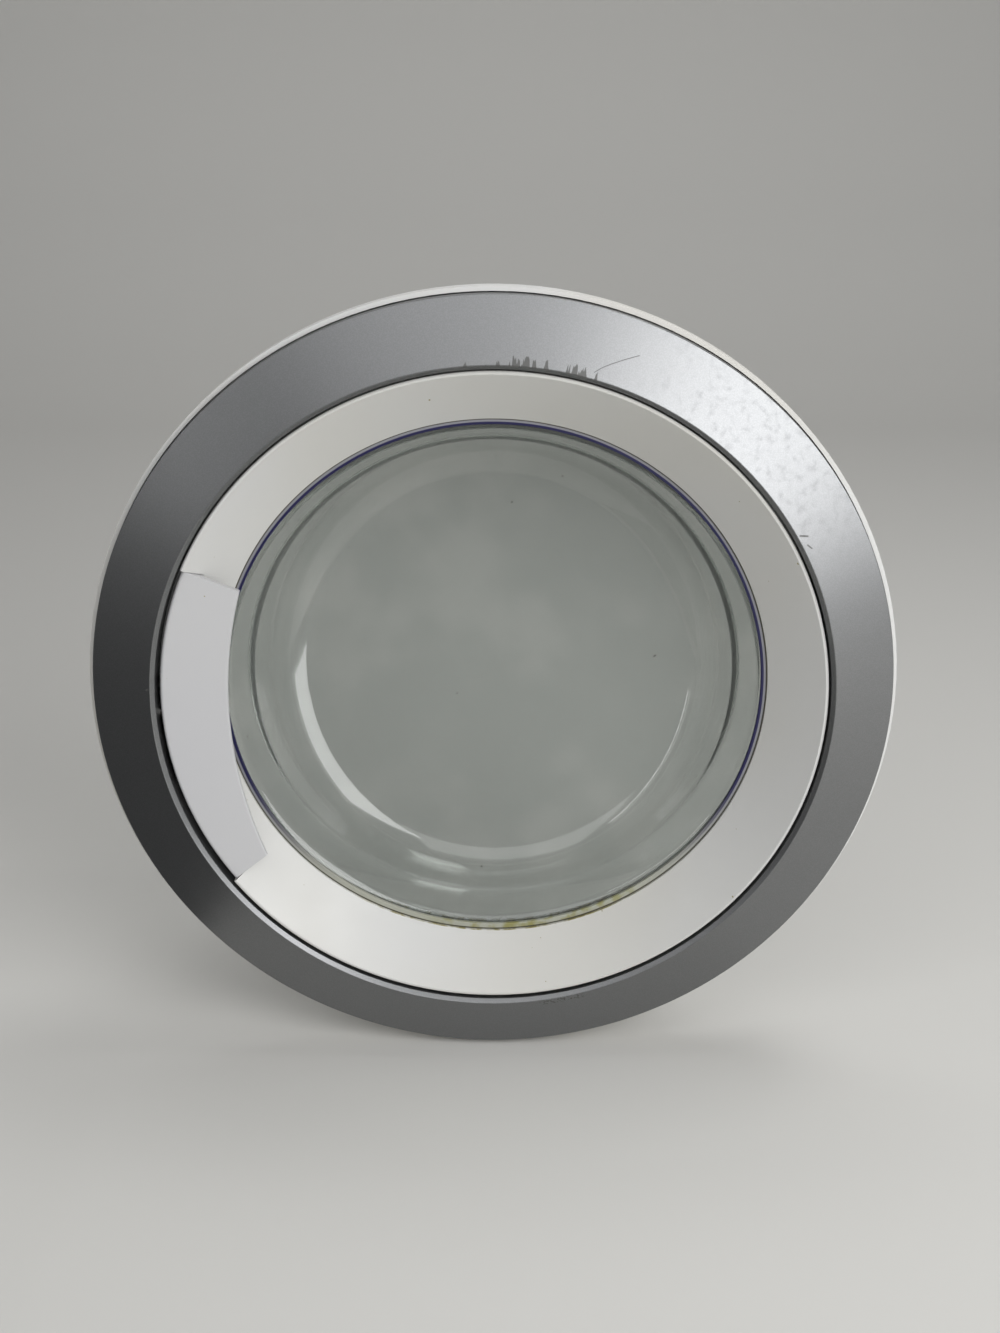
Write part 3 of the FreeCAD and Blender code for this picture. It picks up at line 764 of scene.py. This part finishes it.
@dataclass(frozen=True)
class BareMetal(Finish):
    """Plated, drawn or cast metal: a grey mirror dulled by its grain, with darker tarnish in places."""

    worn_colour: str = "#7d7b74"
    worn: Patches = Patches(7.0, 0.42, 0.72, 4.0, 1.0)
    dulling: float = 0.15
    skin: Relief = Relief(0.7, 0.01)

    def material(self) -> bpy.types.Material:
        """Builds the metal with its grain and its duller patches.

        Returns:
            The material.
        """
        material, shader, places = self.start()
        worn = places.patches(self.worn)
        self.lay(shader, worn, Base_Color=self.worn_colour, Roughness=self.roughness + self.dulling)
        self.emboss(shader, places, self.skin)
        return material


@dataclass(frozen=True)
class PowderCoat(BareMetal):
    """Baked powder coat on steel: an even grey with fine orange peel and duller handled patches."""

    worn_colour: str = "#b4b5b4"
    worn: Patches = Patches(18.0, 0.45, 0.7, 3.0)
    dulling: float = 0.12
    skin: Relief = Relief(1.6, 0.02, 1.0)


SILVER_PAINT = MetallicPaint("silver_metallic_paint", "#838485", 0.38, 1.0)
WHITE_ABS = MouldedPlastic("white_abs", "#cbcbc9", 0.34)
HANDLE_ABS = MouldedPlastic("handle_abs", "#c0c0c1", 0.38, aged_colour="#bdbdbf")
FRAME_ABS = MouldedPlastic("frame_abs", "#dededc", 0.42, aged_colour="#dad8d2")
# The glass's grey tint is partly its dirty film and partly painted shade that darkens what is seen through
# it.
BOWL_GLASS = ClearGlass("soda_lime_glass", "#c0c5c1", 0.02)
SEAL_RUBBER = SealRubber("seal_rubber", "#110f42", 0.5)
ZINC_STEEL = BareMetal("zinc_plated_steel", "#c3c4c0", 0.30, 1.0)
SPRING_STEEL = BareMetal("drawn_spring_steel", "#9b9b9d", 0.26, 1.0, worn_colour="#6d6b68")
DIE_CAST = BareMetal("die_cast_zinc", "#b3b4b4", 0.46, 1.0, skin=Relief(1.0, 0.03))
HINGE_COAT = PowderCoat("grey_powder_coat", "#c8c9c9", 0.45)
BUSH_PLASTIC = MouldedPlastic("natural_acetal", "#e7e4d9", 0.40)


# The door

@dataclass
class Dressing:
    """Puts finished pieces on their bodies with their materials."""

    built: dict[str, bpy.types.Material] = field(default_factory=dict)

    def material(self, finish: Finish) -> bpy.types.Material:
        """Builds a finish's material once."""
        if finish.name not in self.built:
            self.built[finish.name] = finish.material()
        return self.built[finish.name]

    def place(self, piece: Piece, body: Body, finish: Finish, slot: str, *nodes: str) -> None:
        """Gives a new piece its material and body, and hides the nodes that it stands for.

        Args:
            piece: The piece.
            body: Body that it rides on.
            finish: Finish that it gets.
            slot: Material slot; not used.
            nodes: Nodes that it stands for.
        """
        piece.data.materials.clear()
        piece.data.materials.append(self.material(finish))
        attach(piece, body.value)
        if nodes:
            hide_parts(*nodes)
        LOG.info("%s rides on %s with %d faces", piece.name, body.value, len(piece.data.polygons))

    def coat(self, node: str, finish: Finish) -> None:
        """Gives a solid that stays as it is its material.

        Args:
            node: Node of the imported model.
            finish: Finish that it gets.
        """
        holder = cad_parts[node]
        if not holder.material_slots:
            holder.data.materials.append(self.material(finish))
        for place in holder.material_slots:
            place.material = self.material(finish)
        LOG.info("%s keeps its solid in %s", node, finish.name)


@dataclass
class SilverRing:
    """Front ring: conical band with a bevelled lip, an inner wall with a ledge, a skirt and bosses."""

    edge_radius: float = 218.0
    ridge_radius: float = 184.5
    lip_radius: float = 182.4
    ledge_radius: float = 176.5
    skirt_y: float = -8.0
    edge_y: float = -18.0
    ridge_y: float = -31.0
    lip_y: float = -28.8
    ledge_y: float = -16.0
    wall: float = 2.4
    edge_round: float = 0.7
    small_round: float = 0.3
    boss_circle: float = 200.0
    boss_radius: float = 4.2
    boss_y: float = -6.2
    # The facets of bosses and pilots are turned apart: edges that meet exactly leave gaps.
    boss_turn: float = 4.2
    pilot_radius: float = 2.05
    pilot_y: float = -20.4
    pilot_turn: float = 2.05
    rib_wall: float = 1.6
    screw_angles: tuple[float, ...] = (30, 60, 90, 120, 150, 210, 240, 270, 300, 330)
    latch_angle: float = 185.5
    latch_low: Corner = (168.0, -19.2, -31.0)
    latch_high: Corner = (187.2, 0.0, 31.0)

    def cone_y(self, radius: float) -> float:
        """Y of the band's front face at a radius."""
        share = (self.edge_radius - radius) / (self.edge_radius - self.ridge_radius)
        return self.edge_y + share * (self.ridge_y - self.edge_y)

    def rod(self, angle: float, radius: float, front_y: float, back_y: float, turn: float) -> Piece:
        """Turns a round bar along Y at a screw's place.

        Args:
            angle: Angle of the screw.
            radius: Radius of the bar.
            front_y: Y of its front end.
            back_y: Y of its back end.
            turn: Angle of its first facet.

        Returns:
            The bar.
        """
        corners = [(0.0, front_y, 0.0), (radius, front_y, 0.0), (radius, back_y, 0.0), (0.0, back_y, 0.0)]
        centre = on_circle(self.boss_circle, angle)
        return turn_outline(f"rod_{angle}", corners, False, SMALL_STEPS, start=turn, centre=centre)

    def boss(self, angle: float) -> Piece:
        """Models a screw boss with its rib, longer than the room under the cone.

        Args:
            angle: Angle of the screw.

        Returns:
            The boss.
        """
        boss = self.rod(angle, self.boss_radius, self.ridge_y, self.boss_y, self.boss_turn)
        half = self.rib_wall / 2
        back_y = self.ledge_y + self.wall - 2 * self.small_round
        rib = block((self.lip_radius, self.ridge_y, -half), (self.edge_radius, back_y, half), angle)
        shape_with(boss, [rib], Shaping.JOIN)
        return boss

    def build(self) -> Piece:
        """Turns the ring, joins the ribbed bosses and cuts the room for the latch.

        Returns:
            The ring.
        """
        run = self.edge_radius - self.ridge_radius
        drop = self.wall * math.hypot(run, self.edge_y - self.ridge_y) / run
        wall_back = self.lip_radius + self.wall
        skirt_inner = self.edge_radius - self.wall
        ring = turn_outline("silver_ring", [
            (self.edge_radius, self.skirt_y, self.small_round),
            (self.edge_radius, self.edge_y, self.edge_round),
            (self.ridge_radius, self.ridge_y, self.edge_round),
            (self.lip_radius, self.lip_y, self.small_round),
            (self.lip_radius, self.ledge_y, self.small_round),
            (self.ledge_radius, self.ledge_y, self.small_round),
            (self.ledge_radius, self.ledge_y + self.wall, self.small_round),
            (wall_back, self.ledge_y + self.wall, self.small_round),
            (wall_back, self.cone_y(wall_back) + drop, 0.0),
            (skirt_inner, self.cone_y(skirt_inner) + drop, self.small_round),
            (skirt_inner, self.skirt_y, self.small_round),
        ])
        low_radius = wall_back - self.small_round
        high_radius = skirt_inner + self.small_round
        under_cone = turn_outline("under_cone", [
            (low_radius, 0.0, 0.0),
            (low_radius, self.cone_y(low_radius) + drop / 2, 0.0),
            (high_radius, self.cone_y(high_radius) + drop / 2, 0.0),
            (high_radius, 0.0, 0.0),
        ])
        bosses = joined([self.boss(angle) for angle in self.screw_angles])
        shape_with(bosses, [under_cone], Shaping.KEEP)
        shape_with(ring, [bosses], Shaping.JOIN)
        pilots = joined([
            self.rod(angle, self.pilot_radius, self.pilot_y, 0.0, self.pilot_turn)
            for angle in self.screw_angles
        ])
        latch_room = block(self.latch_low, self.latch_high, self.latch_angle)
        shape_with(ring, [pilots, latch_room], Shaping.CUT)
        smooth(ring)
        return ring


@dataclass
class FunnelRing:
    """White funnel ring between the silver ring and the glass, set back under the handle."""

    inner_radius: float = 152.0
    seat_radius: float = 154.0
    outer_radius: float = 180.5
    crest_radius: float = 181.2
    inner_y: float = -3.1
    seal_y: float = -1.5
    crest_y: float = -29.5
    ledge_y: float = -16.0
    shelf_y: float = -18.5
    wall: float = 2.4
    crest_round: float = 1.2
    small_round: float = 0.25
    handle_angle: float = 185.5
    half_open: float = 30.611
    window_low: Corner = (167.0, -29.5, -31.0)
    window_high: Corner = (182.4, 0.0, 31.0)

    def face_y(self, radius: float) -> float:
        """Y of the funnel's front face at a radius."""
        share = (radius - self.inner_radius) / (self.outer_radius - self.inner_radius)
        return self.inner_y + share * (self.crest_y - self.inner_y)

    def face_radius(self, y: float) -> float:
        """Radius of the funnel's front face at a y."""
        share = (y - self.inner_y) / (self.crest_y - self.inner_y)
        return self.inner_radius + share * (self.outer_radius - self.inner_radius)

    def build(self) -> Piece:
        """Turns the full section and the set-back one, cuts the latch's window and joins them.

        Returns:
            The ring.
        """
        slope = (self.inner_y - self.crest_y) / (self.outer_radius - self.inner_radius)
        shift = self.wall * math.hypot(1.0, slope)
        skirt_inner = self.crest_radius - self.wall
        inner_edge = [
            (self.seat_radius, self.face_y(self.seat_radius) + shift, 0.0),
            (self.seat_radius, self.seal_y, 0.0),
            (self.inner_radius, self.seal_y, self.small_round),
            (self.inner_radius, self.inner_y, self.small_round),
        ]
        crest = [
            (self.crest_radius, self.crest_y, self.crest_round),
            (self.crest_radius, self.ledge_y, self.small_round),
            (skirt_inner, self.ledge_y, self.small_round),
            (skirt_inner, self.face_y(skirt_inner) + shift, 0.0),
        ]
        shelf = [
            (self.face_radius(self.shelf_y), self.shelf_y, self.small_round),
            (self.outer_radius, self.shelf_y, self.small_round),
            (self.outer_radius, self.ledge_y, self.small_round),
            (self.face_radius(self.ledge_y - shift), self.ledge_y, 0.0),
        ]
        gap_share = 2 * self.half_open / FULL_TURN
        ring = turn_outline(
            "funnel_ring", inner_edge + crest, True, round(RING_STEPS * (1 - gap_share)),
            self.handle_angle + self.half_open, FULL_TURN - 2 * self.half_open,
        )
        recess = turn_outline(
            "funnel_recess", inner_edge + shelf, True, round(RING_STEPS * gap_share),
            self.handle_angle - self.half_open, 2 * self.half_open,
        )
        shape_with(recess, [block(self.window_low, self.window_high, self.handle_angle)], Shaping.CUT)
        shape_with(ring, [recess], Shaping.JOIN)
        smooth(ring)
        return ring


@dataclass
class Glazing:
    """Glass bowl and the channel seal round its flange."""

    flange_radius: float = 161.0
    mouth_radius: float = 147.5
    neck_radius: float = 136.0
    neck_y: float = 18.0
    floor_radius: float = 121.0
    floor_y: float = 99.98
    floor_rake: float = 55.0
    glass_wall: float = 5.5
    flange_bend: float = 3.0
    neck_bend: float = 16.0
    floor_bend: float = 25.0
    glass_edge: float = 0.8
    seal_inner: float = 148.6
    seal_outer: float = 163.5
    seal_channel: float = 161.1
    seal_rear: float = 154.5
    seal_front_y: float = -1.5
    seal_back_y: float = 7.0
    seal_round: float = 0.35
    lip_radii: tuple[float, ...] = (152.0, 150.5, 149.5)
    lip_gap: float = 0.05

    def section(self, angle: float) -> list[Corner]:
        """Gives the bowl's section at an angle round the porthole axis.

        Args:
            angle: Angle in degrees.

        Returns:
            Corners from the axis along the outer face to the flange, and back along the hollow's face.
        """
        wall_slope = (self.neck_radius - self.floor_radius) / (self.floor_y - self.neck_y)
        rake_slope = self.floor_rake / (2 * self.floor_radius)
        tilt = rake_slope * math.sin(math.radians(angle))
        skins = []
        for outset in (0.0, self.glass_wall):
            middle_y = self.floor_y - rake_slope * self.floor_radius + outset * math.hypot(1.0, rake_slope)
            side_radius = self.neck_radius + wall_slope * self.neck_y + outset * math.hypot(1.0, wall_slope)
            corner_y = (middle_y + tilt * side_radius) / (1.0 + tilt * wall_slope)
            corner = (side_radius - wall_slope * corner_y, corner_y, self.floor_bend + outset)
            skins.append([corner, (0.0, middle_y, 0.0)])
        hollow, outside = skins
        side = wall_corners([
            (self.flange_radius, 0.0, 0.0),
            (self.mouth_radius, 0.0, self.flange_bend),
            (self.neck_radius, self.neck_y, self.neck_bend),
            (self.floor_radius, self.floor_y, 0.0),
        ], self.glass_wall, self.glass_edge)
        return outside[::-1] + side[1:-1] + hollow

    def build_bowl(self) -> Piece:
        """Turns the bowl with a level floor, then moves each point to the raked section at its angle.

        Returns:
            The bowl.
        """
        bowl = turn_outline("glass_bowl_clear", self.section(0.0), False)
        level = rounded(self.section(0.0), False)
        raked: dict[int, list[Point]] = {}
        for vertex in bowl.data.vertices:
            radius = math.hypot(vertex.co.x, vertex.co.z) / MM
            turn = math.atan2(vertex.co.z, vertex.co.x)
            gaps = [math.hypot(radius - x, vertex.co.y / MM - y) for x, y in level]
            step = round(turn / math.tau * RING_STEPS)
            if step not in raked:
                raked[step] = rounded(self.section(step * FULL_TURN / RING_STEPS), False)
            new_radius, new_y = raked[step][gaps.index(min(gaps))]
            vertex.co = Vector((new_radius * math.cos(turn), new_y, new_radius * math.sin(turn))) * MM
        smooth(bowl)
        return bowl

    def mouth_y(self, radius: float) -> float:
        """Gives the y of the glass where it rounds from the flange into the mouth.

        Args:
            radius: Radius from the porthole axis.

        Returns:
            The y there.
        """
        bend = self.flange_bend + self.glass_wall
        way = Vector((self.neck_radius - self.mouth_radius, self.neck_y))
        start = self.mouth_radius + bend * math.tan(way.angle(Vector((-1.0, 0.0))) / 2)
        return bend - math.sqrt(bend ** 2 - max(start - radius, 0.0) ** 2)

    def build_seal(self) -> Piece:
        """Turns the channel of the seal, whose lip lies on the glass.

        Returns:
            The seal.
        """
        seal = turn_outline("glass_seal_channel", [
            (self.seal_inner, self.seal_front_y, self.seal_round),
            (self.seal_outer, self.seal_front_y, self.seal_round),
            (self.seal_outer, self.seal_back_y, self.seal_round),
            (self.seal_rear, self.seal_back_y, self.seal_round),
            (self.seal_rear, self.glass_wall, self.seal_round),
            (self.seal_channel, self.glass_wall, 0.0),
            (self.seal_channel, 0.0, 0.0),
            *((radius, self.mouth_y(radius) - self.lip_gap, 0.0) for radius in self.lip_radii),
            (self.seal_inner, self.mouth_y(self.seal_inner) - self.lip_gap, self.seal_round),
        ])
        smooth(seal)
        return seal


class Head(Enum):
    """Kinds of screw head."""

    PAN = "pan"
    FLAT = "flat"


@dataclass
class ScrewSet:
    """Self-tapping screws with cross recesses, their heads to the back."""

    name: str
    spots: Sequence[Point]
    head: Head
    seat_y: float
    length: float
    head_height: float
    head_radius: float = 4.0
    shank_radius: float = 2.0
    tip: float = 1.5
    crown_round: float = 1.5
    edge_round: float = 0.2
    recess_length: float = 4.4
    recess_width: float = 0.95
    recess_depth: float = 1.2
    turn_step: float = 37.0

    def first(self) -> Piece:
        """Models one screw on the porthole axis.

        Returns:
            The screw.
        """
        crown_y = self.seat_y + self.head_height
        foot = [
            (self.shank_radius, self.seat_y, 0.0),
            (self.shank_radius, self.seat_y + self.tip - self.length, 0.0),
            (0.0, self.seat_y - self.length, 0.0),
        ]
        if self.head is Head.PAN:
            head = [
                (0.0, crown_y, 0.0),
                (self.head_radius, crown_y, self.crown_round),
                (self.head_radius, self.seat_y, self.edge_round),
            ]
        else:
            head = [(0.0, crown_y, 0.0), (self.head_radius, crown_y, self.edge_round)]
        screw = turn_outline(self.name, head + foot, False, SMALL_STEPS)
        long_half = self.recess_length / 2
        thin_half = self.recess_width / 2
        low_y = crown_y - self.recess_depth
        high_y = crown_y + self.recess_depth
        shape_with(screw, [
            block((-long_half, low_y, -thin_half), (long_half, high_y, thin_half)),
            block((-thin_half, low_y, -long_half), (thin_half, high_y, long_half)),
        ], Shaping.CUT)
        smooth(screw)
        return screw

    def build(self) -> Piece:
        """Copies the screw to its places, each turned as it was driven home.

        Returns:
            The whole set as one object.
        """
        first = self.first()
        copies = []
        for index, (x, z) in enumerate(self.spots):
            mesh = first.data.copy()
            turn = Matrix.Rotation(math.radians(index * self.turn_step), 4, "Y")
            mesh.transform(Matrix.Translation((x * MM, 0.0, z * MM)) @ turn)
            copy = bpy.data.objects.new(f"{self.name}_{index}", mesh)
            bpy.context.scene.collection.objects.link(copy)
            copies.append(copy)
        bpy.data.objects.remove(first)
        screws = joined(copies)
        screws.name = self.name
        return screws


class SoftLight(NamedTuple):
    """Rectangular light that faces a target, the door if none is given, in metres and watts."""

    name: str
    place: Corner
    size: Point
    watts: float
    target: Corner = (0.0, 0.0, 0.0)


@dataclass
class Studio:
    """Camera at the photograph's angle, pale floor with a sweep behind it, and soft lights, in metres."""

    eye: Corner = (0.0037, -0.8292, 0.3261)
    tilt: float = 69.29
    focal_px: float = 1600.0
    image_height_px: float = 1333.0
    sensor_mm: float = 36.0
    floor_z: float = -0.2212
    floor_colour: str = "#cccbc7"
    paper_roughness: float = 0.8
    floor_half: float = 4.0
    floor_front: float = -2.4
    sweep_y: float = 2.6
    sweep_height: float = 3.0
    sweep_round: float = 0.9
    card_colour: str = "#5c5c5c"
    card_left: float = -1.6
    card_right: float = -0.22
    card_front: float = -1.2
    card_back: float = 0.2
    card_lift: float = 0.002
    room_colour: str = "#fbfcff"
    room_dim: float = 0.10
    room_bright: float = 0.24
    dim_side: float = -0.9
    bright_side: float = 0.7
    backdrop_level: float = 0.45
    lights: tuple[SoftLight, ...] = (
        SoftLight("window_light", (1.13, -1.32, 0.67), (1.3, 1.3), 26.0),
        SoftLight("ceiling_light", (-0.2, -1.35, 1.4), (1.6, 1.2), 8.5),
        SoftLight("strip_light", (-1.2, -1.0, 0.75), (0.1, 1.2), 2.0),
        SoftLight("overhead_light", (0.5, 0.1, 1.5), (0.5, 0.5), 6.0),
        SoftLight("sweep_light", (0.0, 1.2, 3.4), (3.0, 1.0), 24.0, (0.0, 2.5, 0.6)),
    )

    def add_camera(self) -> None:
        """Sets the camera that took the photograph, for an image of 1000 by 1333."""
        data = bpy.data.cameras.new("photo_camera")
        data.sensor_width = self.sensor_mm
        data.lens = self.focal_px * self.sensor_mm / self.image_height_px
        camera = bpy.data.objects.new("photo_camera", data)
        camera.location = self.eye
        camera.rotation_euler = (math.radians(self.tilt), 0.0, 0.0)
        bpy.context.scene.collection.objects.link(camera)
        bpy.context.scene.camera = camera

    def add_sheet(
        self, name: str, corners: Sequence[Corner], low_x: float, high_x: float, colour: str,
    ) -> Piece:
        """Lays a sheet of matt paper on the stage.

        Args:
            name: Name of the sheet.
            corners: Y, z and rounding of its bends.
            low_x: Left edge.
            high_x: Right edge.
            colour: Colour of the paper.

        Returns:
            The sheet.
        """
        line = [Vector((low_x, y, z)) for y, z in rounded(corners, False)]
        sheet = draw_outline(name, line, False)
        bpy.ops.mesh.extrude_region_move(TRANSFORM_OT_translate={"value": (high_x - low_x, 0.0, 0.0)})
        bpy.ops.object.mode_set(mode="OBJECT")
        select_only(sheet)
        bpy.ops.object.shade_smooth()
        paper = bpy.data.materials.new(name)
        paper.use_nodes = True
        shader = paper.node_tree.nodes["Principled BSDF"]
        shader.inputs["Base Color"].default_value = linear(colour)
        shader.inputs["Roughness"].default_value = self.paper_roughness
        sheet.data.materials.append(paper)
        return sheet

    def add_floor(self) -> None:
        """Lays the floor with its sweep, and a dark card at the left that only glossy faces see."""
        self.add_sheet("studio_floor", [
            (self.floor_front, self.floor_z, 0.0),
            (self.sweep_y, self.floor_z, self.sweep_round),
            (self.sweep_y, self.sweep_height, 0.0),
        ], -self.floor_half, self.floor_half, self.floor_colour)
        card_z = self.floor_z + self.card_lift
        card = self.add_sheet("dark_card", [
            (self.card_front, card_z, 0.0), (self.card_back, card_z, 0.0),
        ], self.card_left, self.card_right, self.card_colour)
        card.visible_camera = False
        card.visible_diffuse = False
        card.visible_transmission = False
        card.visible_shadow = False

    def add_light(self, light: SoftLight) -> None:
        """Hangs a light that the camera doesn't see.

        Args:
            light: The light.
        """
        data = bpy.data.lights.new(light.name, "AREA")
        data.shape = "RECTANGLE"
        data.size, data.size_y = light.size
        data.energy = light.watts
        lamp = bpy.data.objects.new(light.name, data)
        lamp.location = light.place
        way = Vector(light.target) - Vector(light.place)
        lamp.rotation_euler = way.to_track_quat("-Z", "Y").to_euler()
        lamp.visible_camera = False
        bpy.context.scene.collection.objects.link(lamp)

    def add_world(self) -> None:
        """Surrounds the door with soft light, dimmer on the left, and an even backdrop where it is seen."""
        world = bpy.data.worlds.new("soft_room")
        world.use_nodes = True
        tree = world.node_tree
        way = add_node(tree, "ShaderNodeTexCoord").outputs["Generated"]
        side = add_node(tree, "ShaderNodeSeparateXYZ", {}, {"Vector": way})
        level = add_node(tree, "ShaderNodeMapRange", {
            **SMOOTH_STEP, 1: self.dim_side, 2: self.bright_side, 3: self.room_dim, 4: self.room_bright,
        }, {0: side.outputs["X"]})
        path = add_node(tree, "ShaderNodeLightPath").outputs
        seen = add_node(tree, "ShaderNodeMath", {"operation": "MAXIMUM"}, {
            0: path["Is Camera Ray"], 1: path["Is Transmission Ray"],
        })
        shown = add_node(tree, "ShaderNodeMix", {"data_type": "FLOAT", 3: self.backdrop_level}, {
            0: seen.outputs[0], 2: level.outputs[0],
        })
        background = tree.nodes["Background"]
        background.inputs["Color"].default_value = linear(self.room_colour)
        tree.links.new(shown.outputs[0], background.inputs["Strength"])
        bpy.context.scene.world = world

    def build(self) -> None:
        """Sets the whole stage."""
        self.add_camera()
        self.add_floor()
        for light in self.lights:
            self.add_light(light)
        self.add_world()
        bpy.context.scene.view_settings.view_transform = "Standard"


@dataclass
class Door:
    """The whole door: its rings, glazing, rear frame, screws, latch and hinge."""

    dressing: Dressing
    bracket_x: float = 194.0
    bracket_z: float = 16.0
    bearing_x: float = 196.0
    bearing_z: float = 32.9

    def build_front(self) -> None:
        """Builds the rings and the glazing."""
        door = Body.DOOR
        self.dressing.place(SilverRing().build(), door, SILVER_PAINT, "silver_paint", "outer_ring")
        self.dressing.place(FunnelRing().build(), door, WHITE_ABS, "white_plastic", "trim_ring")
        glazing = Glazing()
        self.dressing.place(glazing.build_bowl(), door, BOWL_GLASS, "clear_glass", "glass_bowl")
        self.dressing.place(glazing.build_seal(), door, SEAL_RUBBER, "seal_rubber", "glass_seal")

    def build_screws(self) -> None:
        """Builds the screws of the frame, the latch bracket and the hinge bearing."""
        ring = SilverRing()
        frame_spots = [on_circle(ring.boss_circle, angle) for angle in ring.screw_angles]
        reach = math.hypot(self.bracket_x, self.bracket_z)
        spread = math.degrees(math.atan2(self.bracket_z, self.bracket_x))
        bracket_spots = [on_circle(reach, ring.latch_angle + turn) for turn in (-spread, spread)]
        bearing_spots = [(self.bearing_x, z) for z in (-self.bearing_z, 0.0, self.bearing_z)]
        for screws, node in (
            (ScrewSet(
                "frame_screw_set", frame_spots, Head.PAN, seat_y=-4.4, length=16.0, head_height=2.6,
            ), "frame_screws"),
            (ScrewSet(
                "bracket_screw_set", bracket_spots, Head.FLAT, seat_y=-2.0, length=2.9, head_height=2.0,
            ), "bracket_screws"),
            (ScrewSet(
                "bearing_screw_set", bearing_spots, Head.FLAT, seat_y=-2.0, length=10.0, head_height=2.0,
            ), "bearing_screws"),
        ):
            self.dressing.place(screws.build(), Body.DOOR, ZINC_STEEL, "zinc_steel", node)

    def build_copies(self) -> None:
        """Builds the pieces that keep their solid's shape, with smooth round faces."""
        for node, name, body, finish, slot in (
            ("rear_frame", "rear_frame_moulding", Body.DOOR, FRAME_ABS, "frame_plastic"),
            ("handle", "handle_plate", Body.PULL, HANDLE_ABS, "handle_plastic"),
            ("latch_hook", "latch_hook_casting", Body.HOOK, DIE_CAST, "die_cast"),
            ("hinge_leaf", "hinge_leaf_coated", Body.HINGE, HINGE_COAT, "hinge_paint"),
            ("hinge_bearing", "hinge_bearing_casting", Body.DOOR, DIE_CAST, "die_cast"),
        ):
            self.dressing.place(smooth_copy(node, name), body, finish, slot, node)

    def coat_inside(self) -> None:
        """Gives the solids inside the door their finishes."""
        for node, finish in (
            ("handle_pin", ZINC_STEEL), ("pin_clips", SPRING_STEEL), ("latch_bracket", ZINC_STEEL),
            ("handle_spring", SPRING_STEEL), ("hook_spring", SPRING_STEEL), ("hinge_bushes", BUSH_PLASTIC),
            ("hinge_pin", ZINC_STEEL), ("hinge_clips", SPRING_STEEL),
        ):
            self.dressing.coat(node, finish)


def main() -> None:
    """Builds the door and its stage."""
    logging.basicConfig(level=logging.INFO, format="%(name)s: %(message)s")
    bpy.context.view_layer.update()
    door = Door(Dressing())
    door.build_front()
    door.build_screws()
    door.build_copies()
    door.coat_inside()
    Studio().build()


if __name__ == "__main__":
    main()
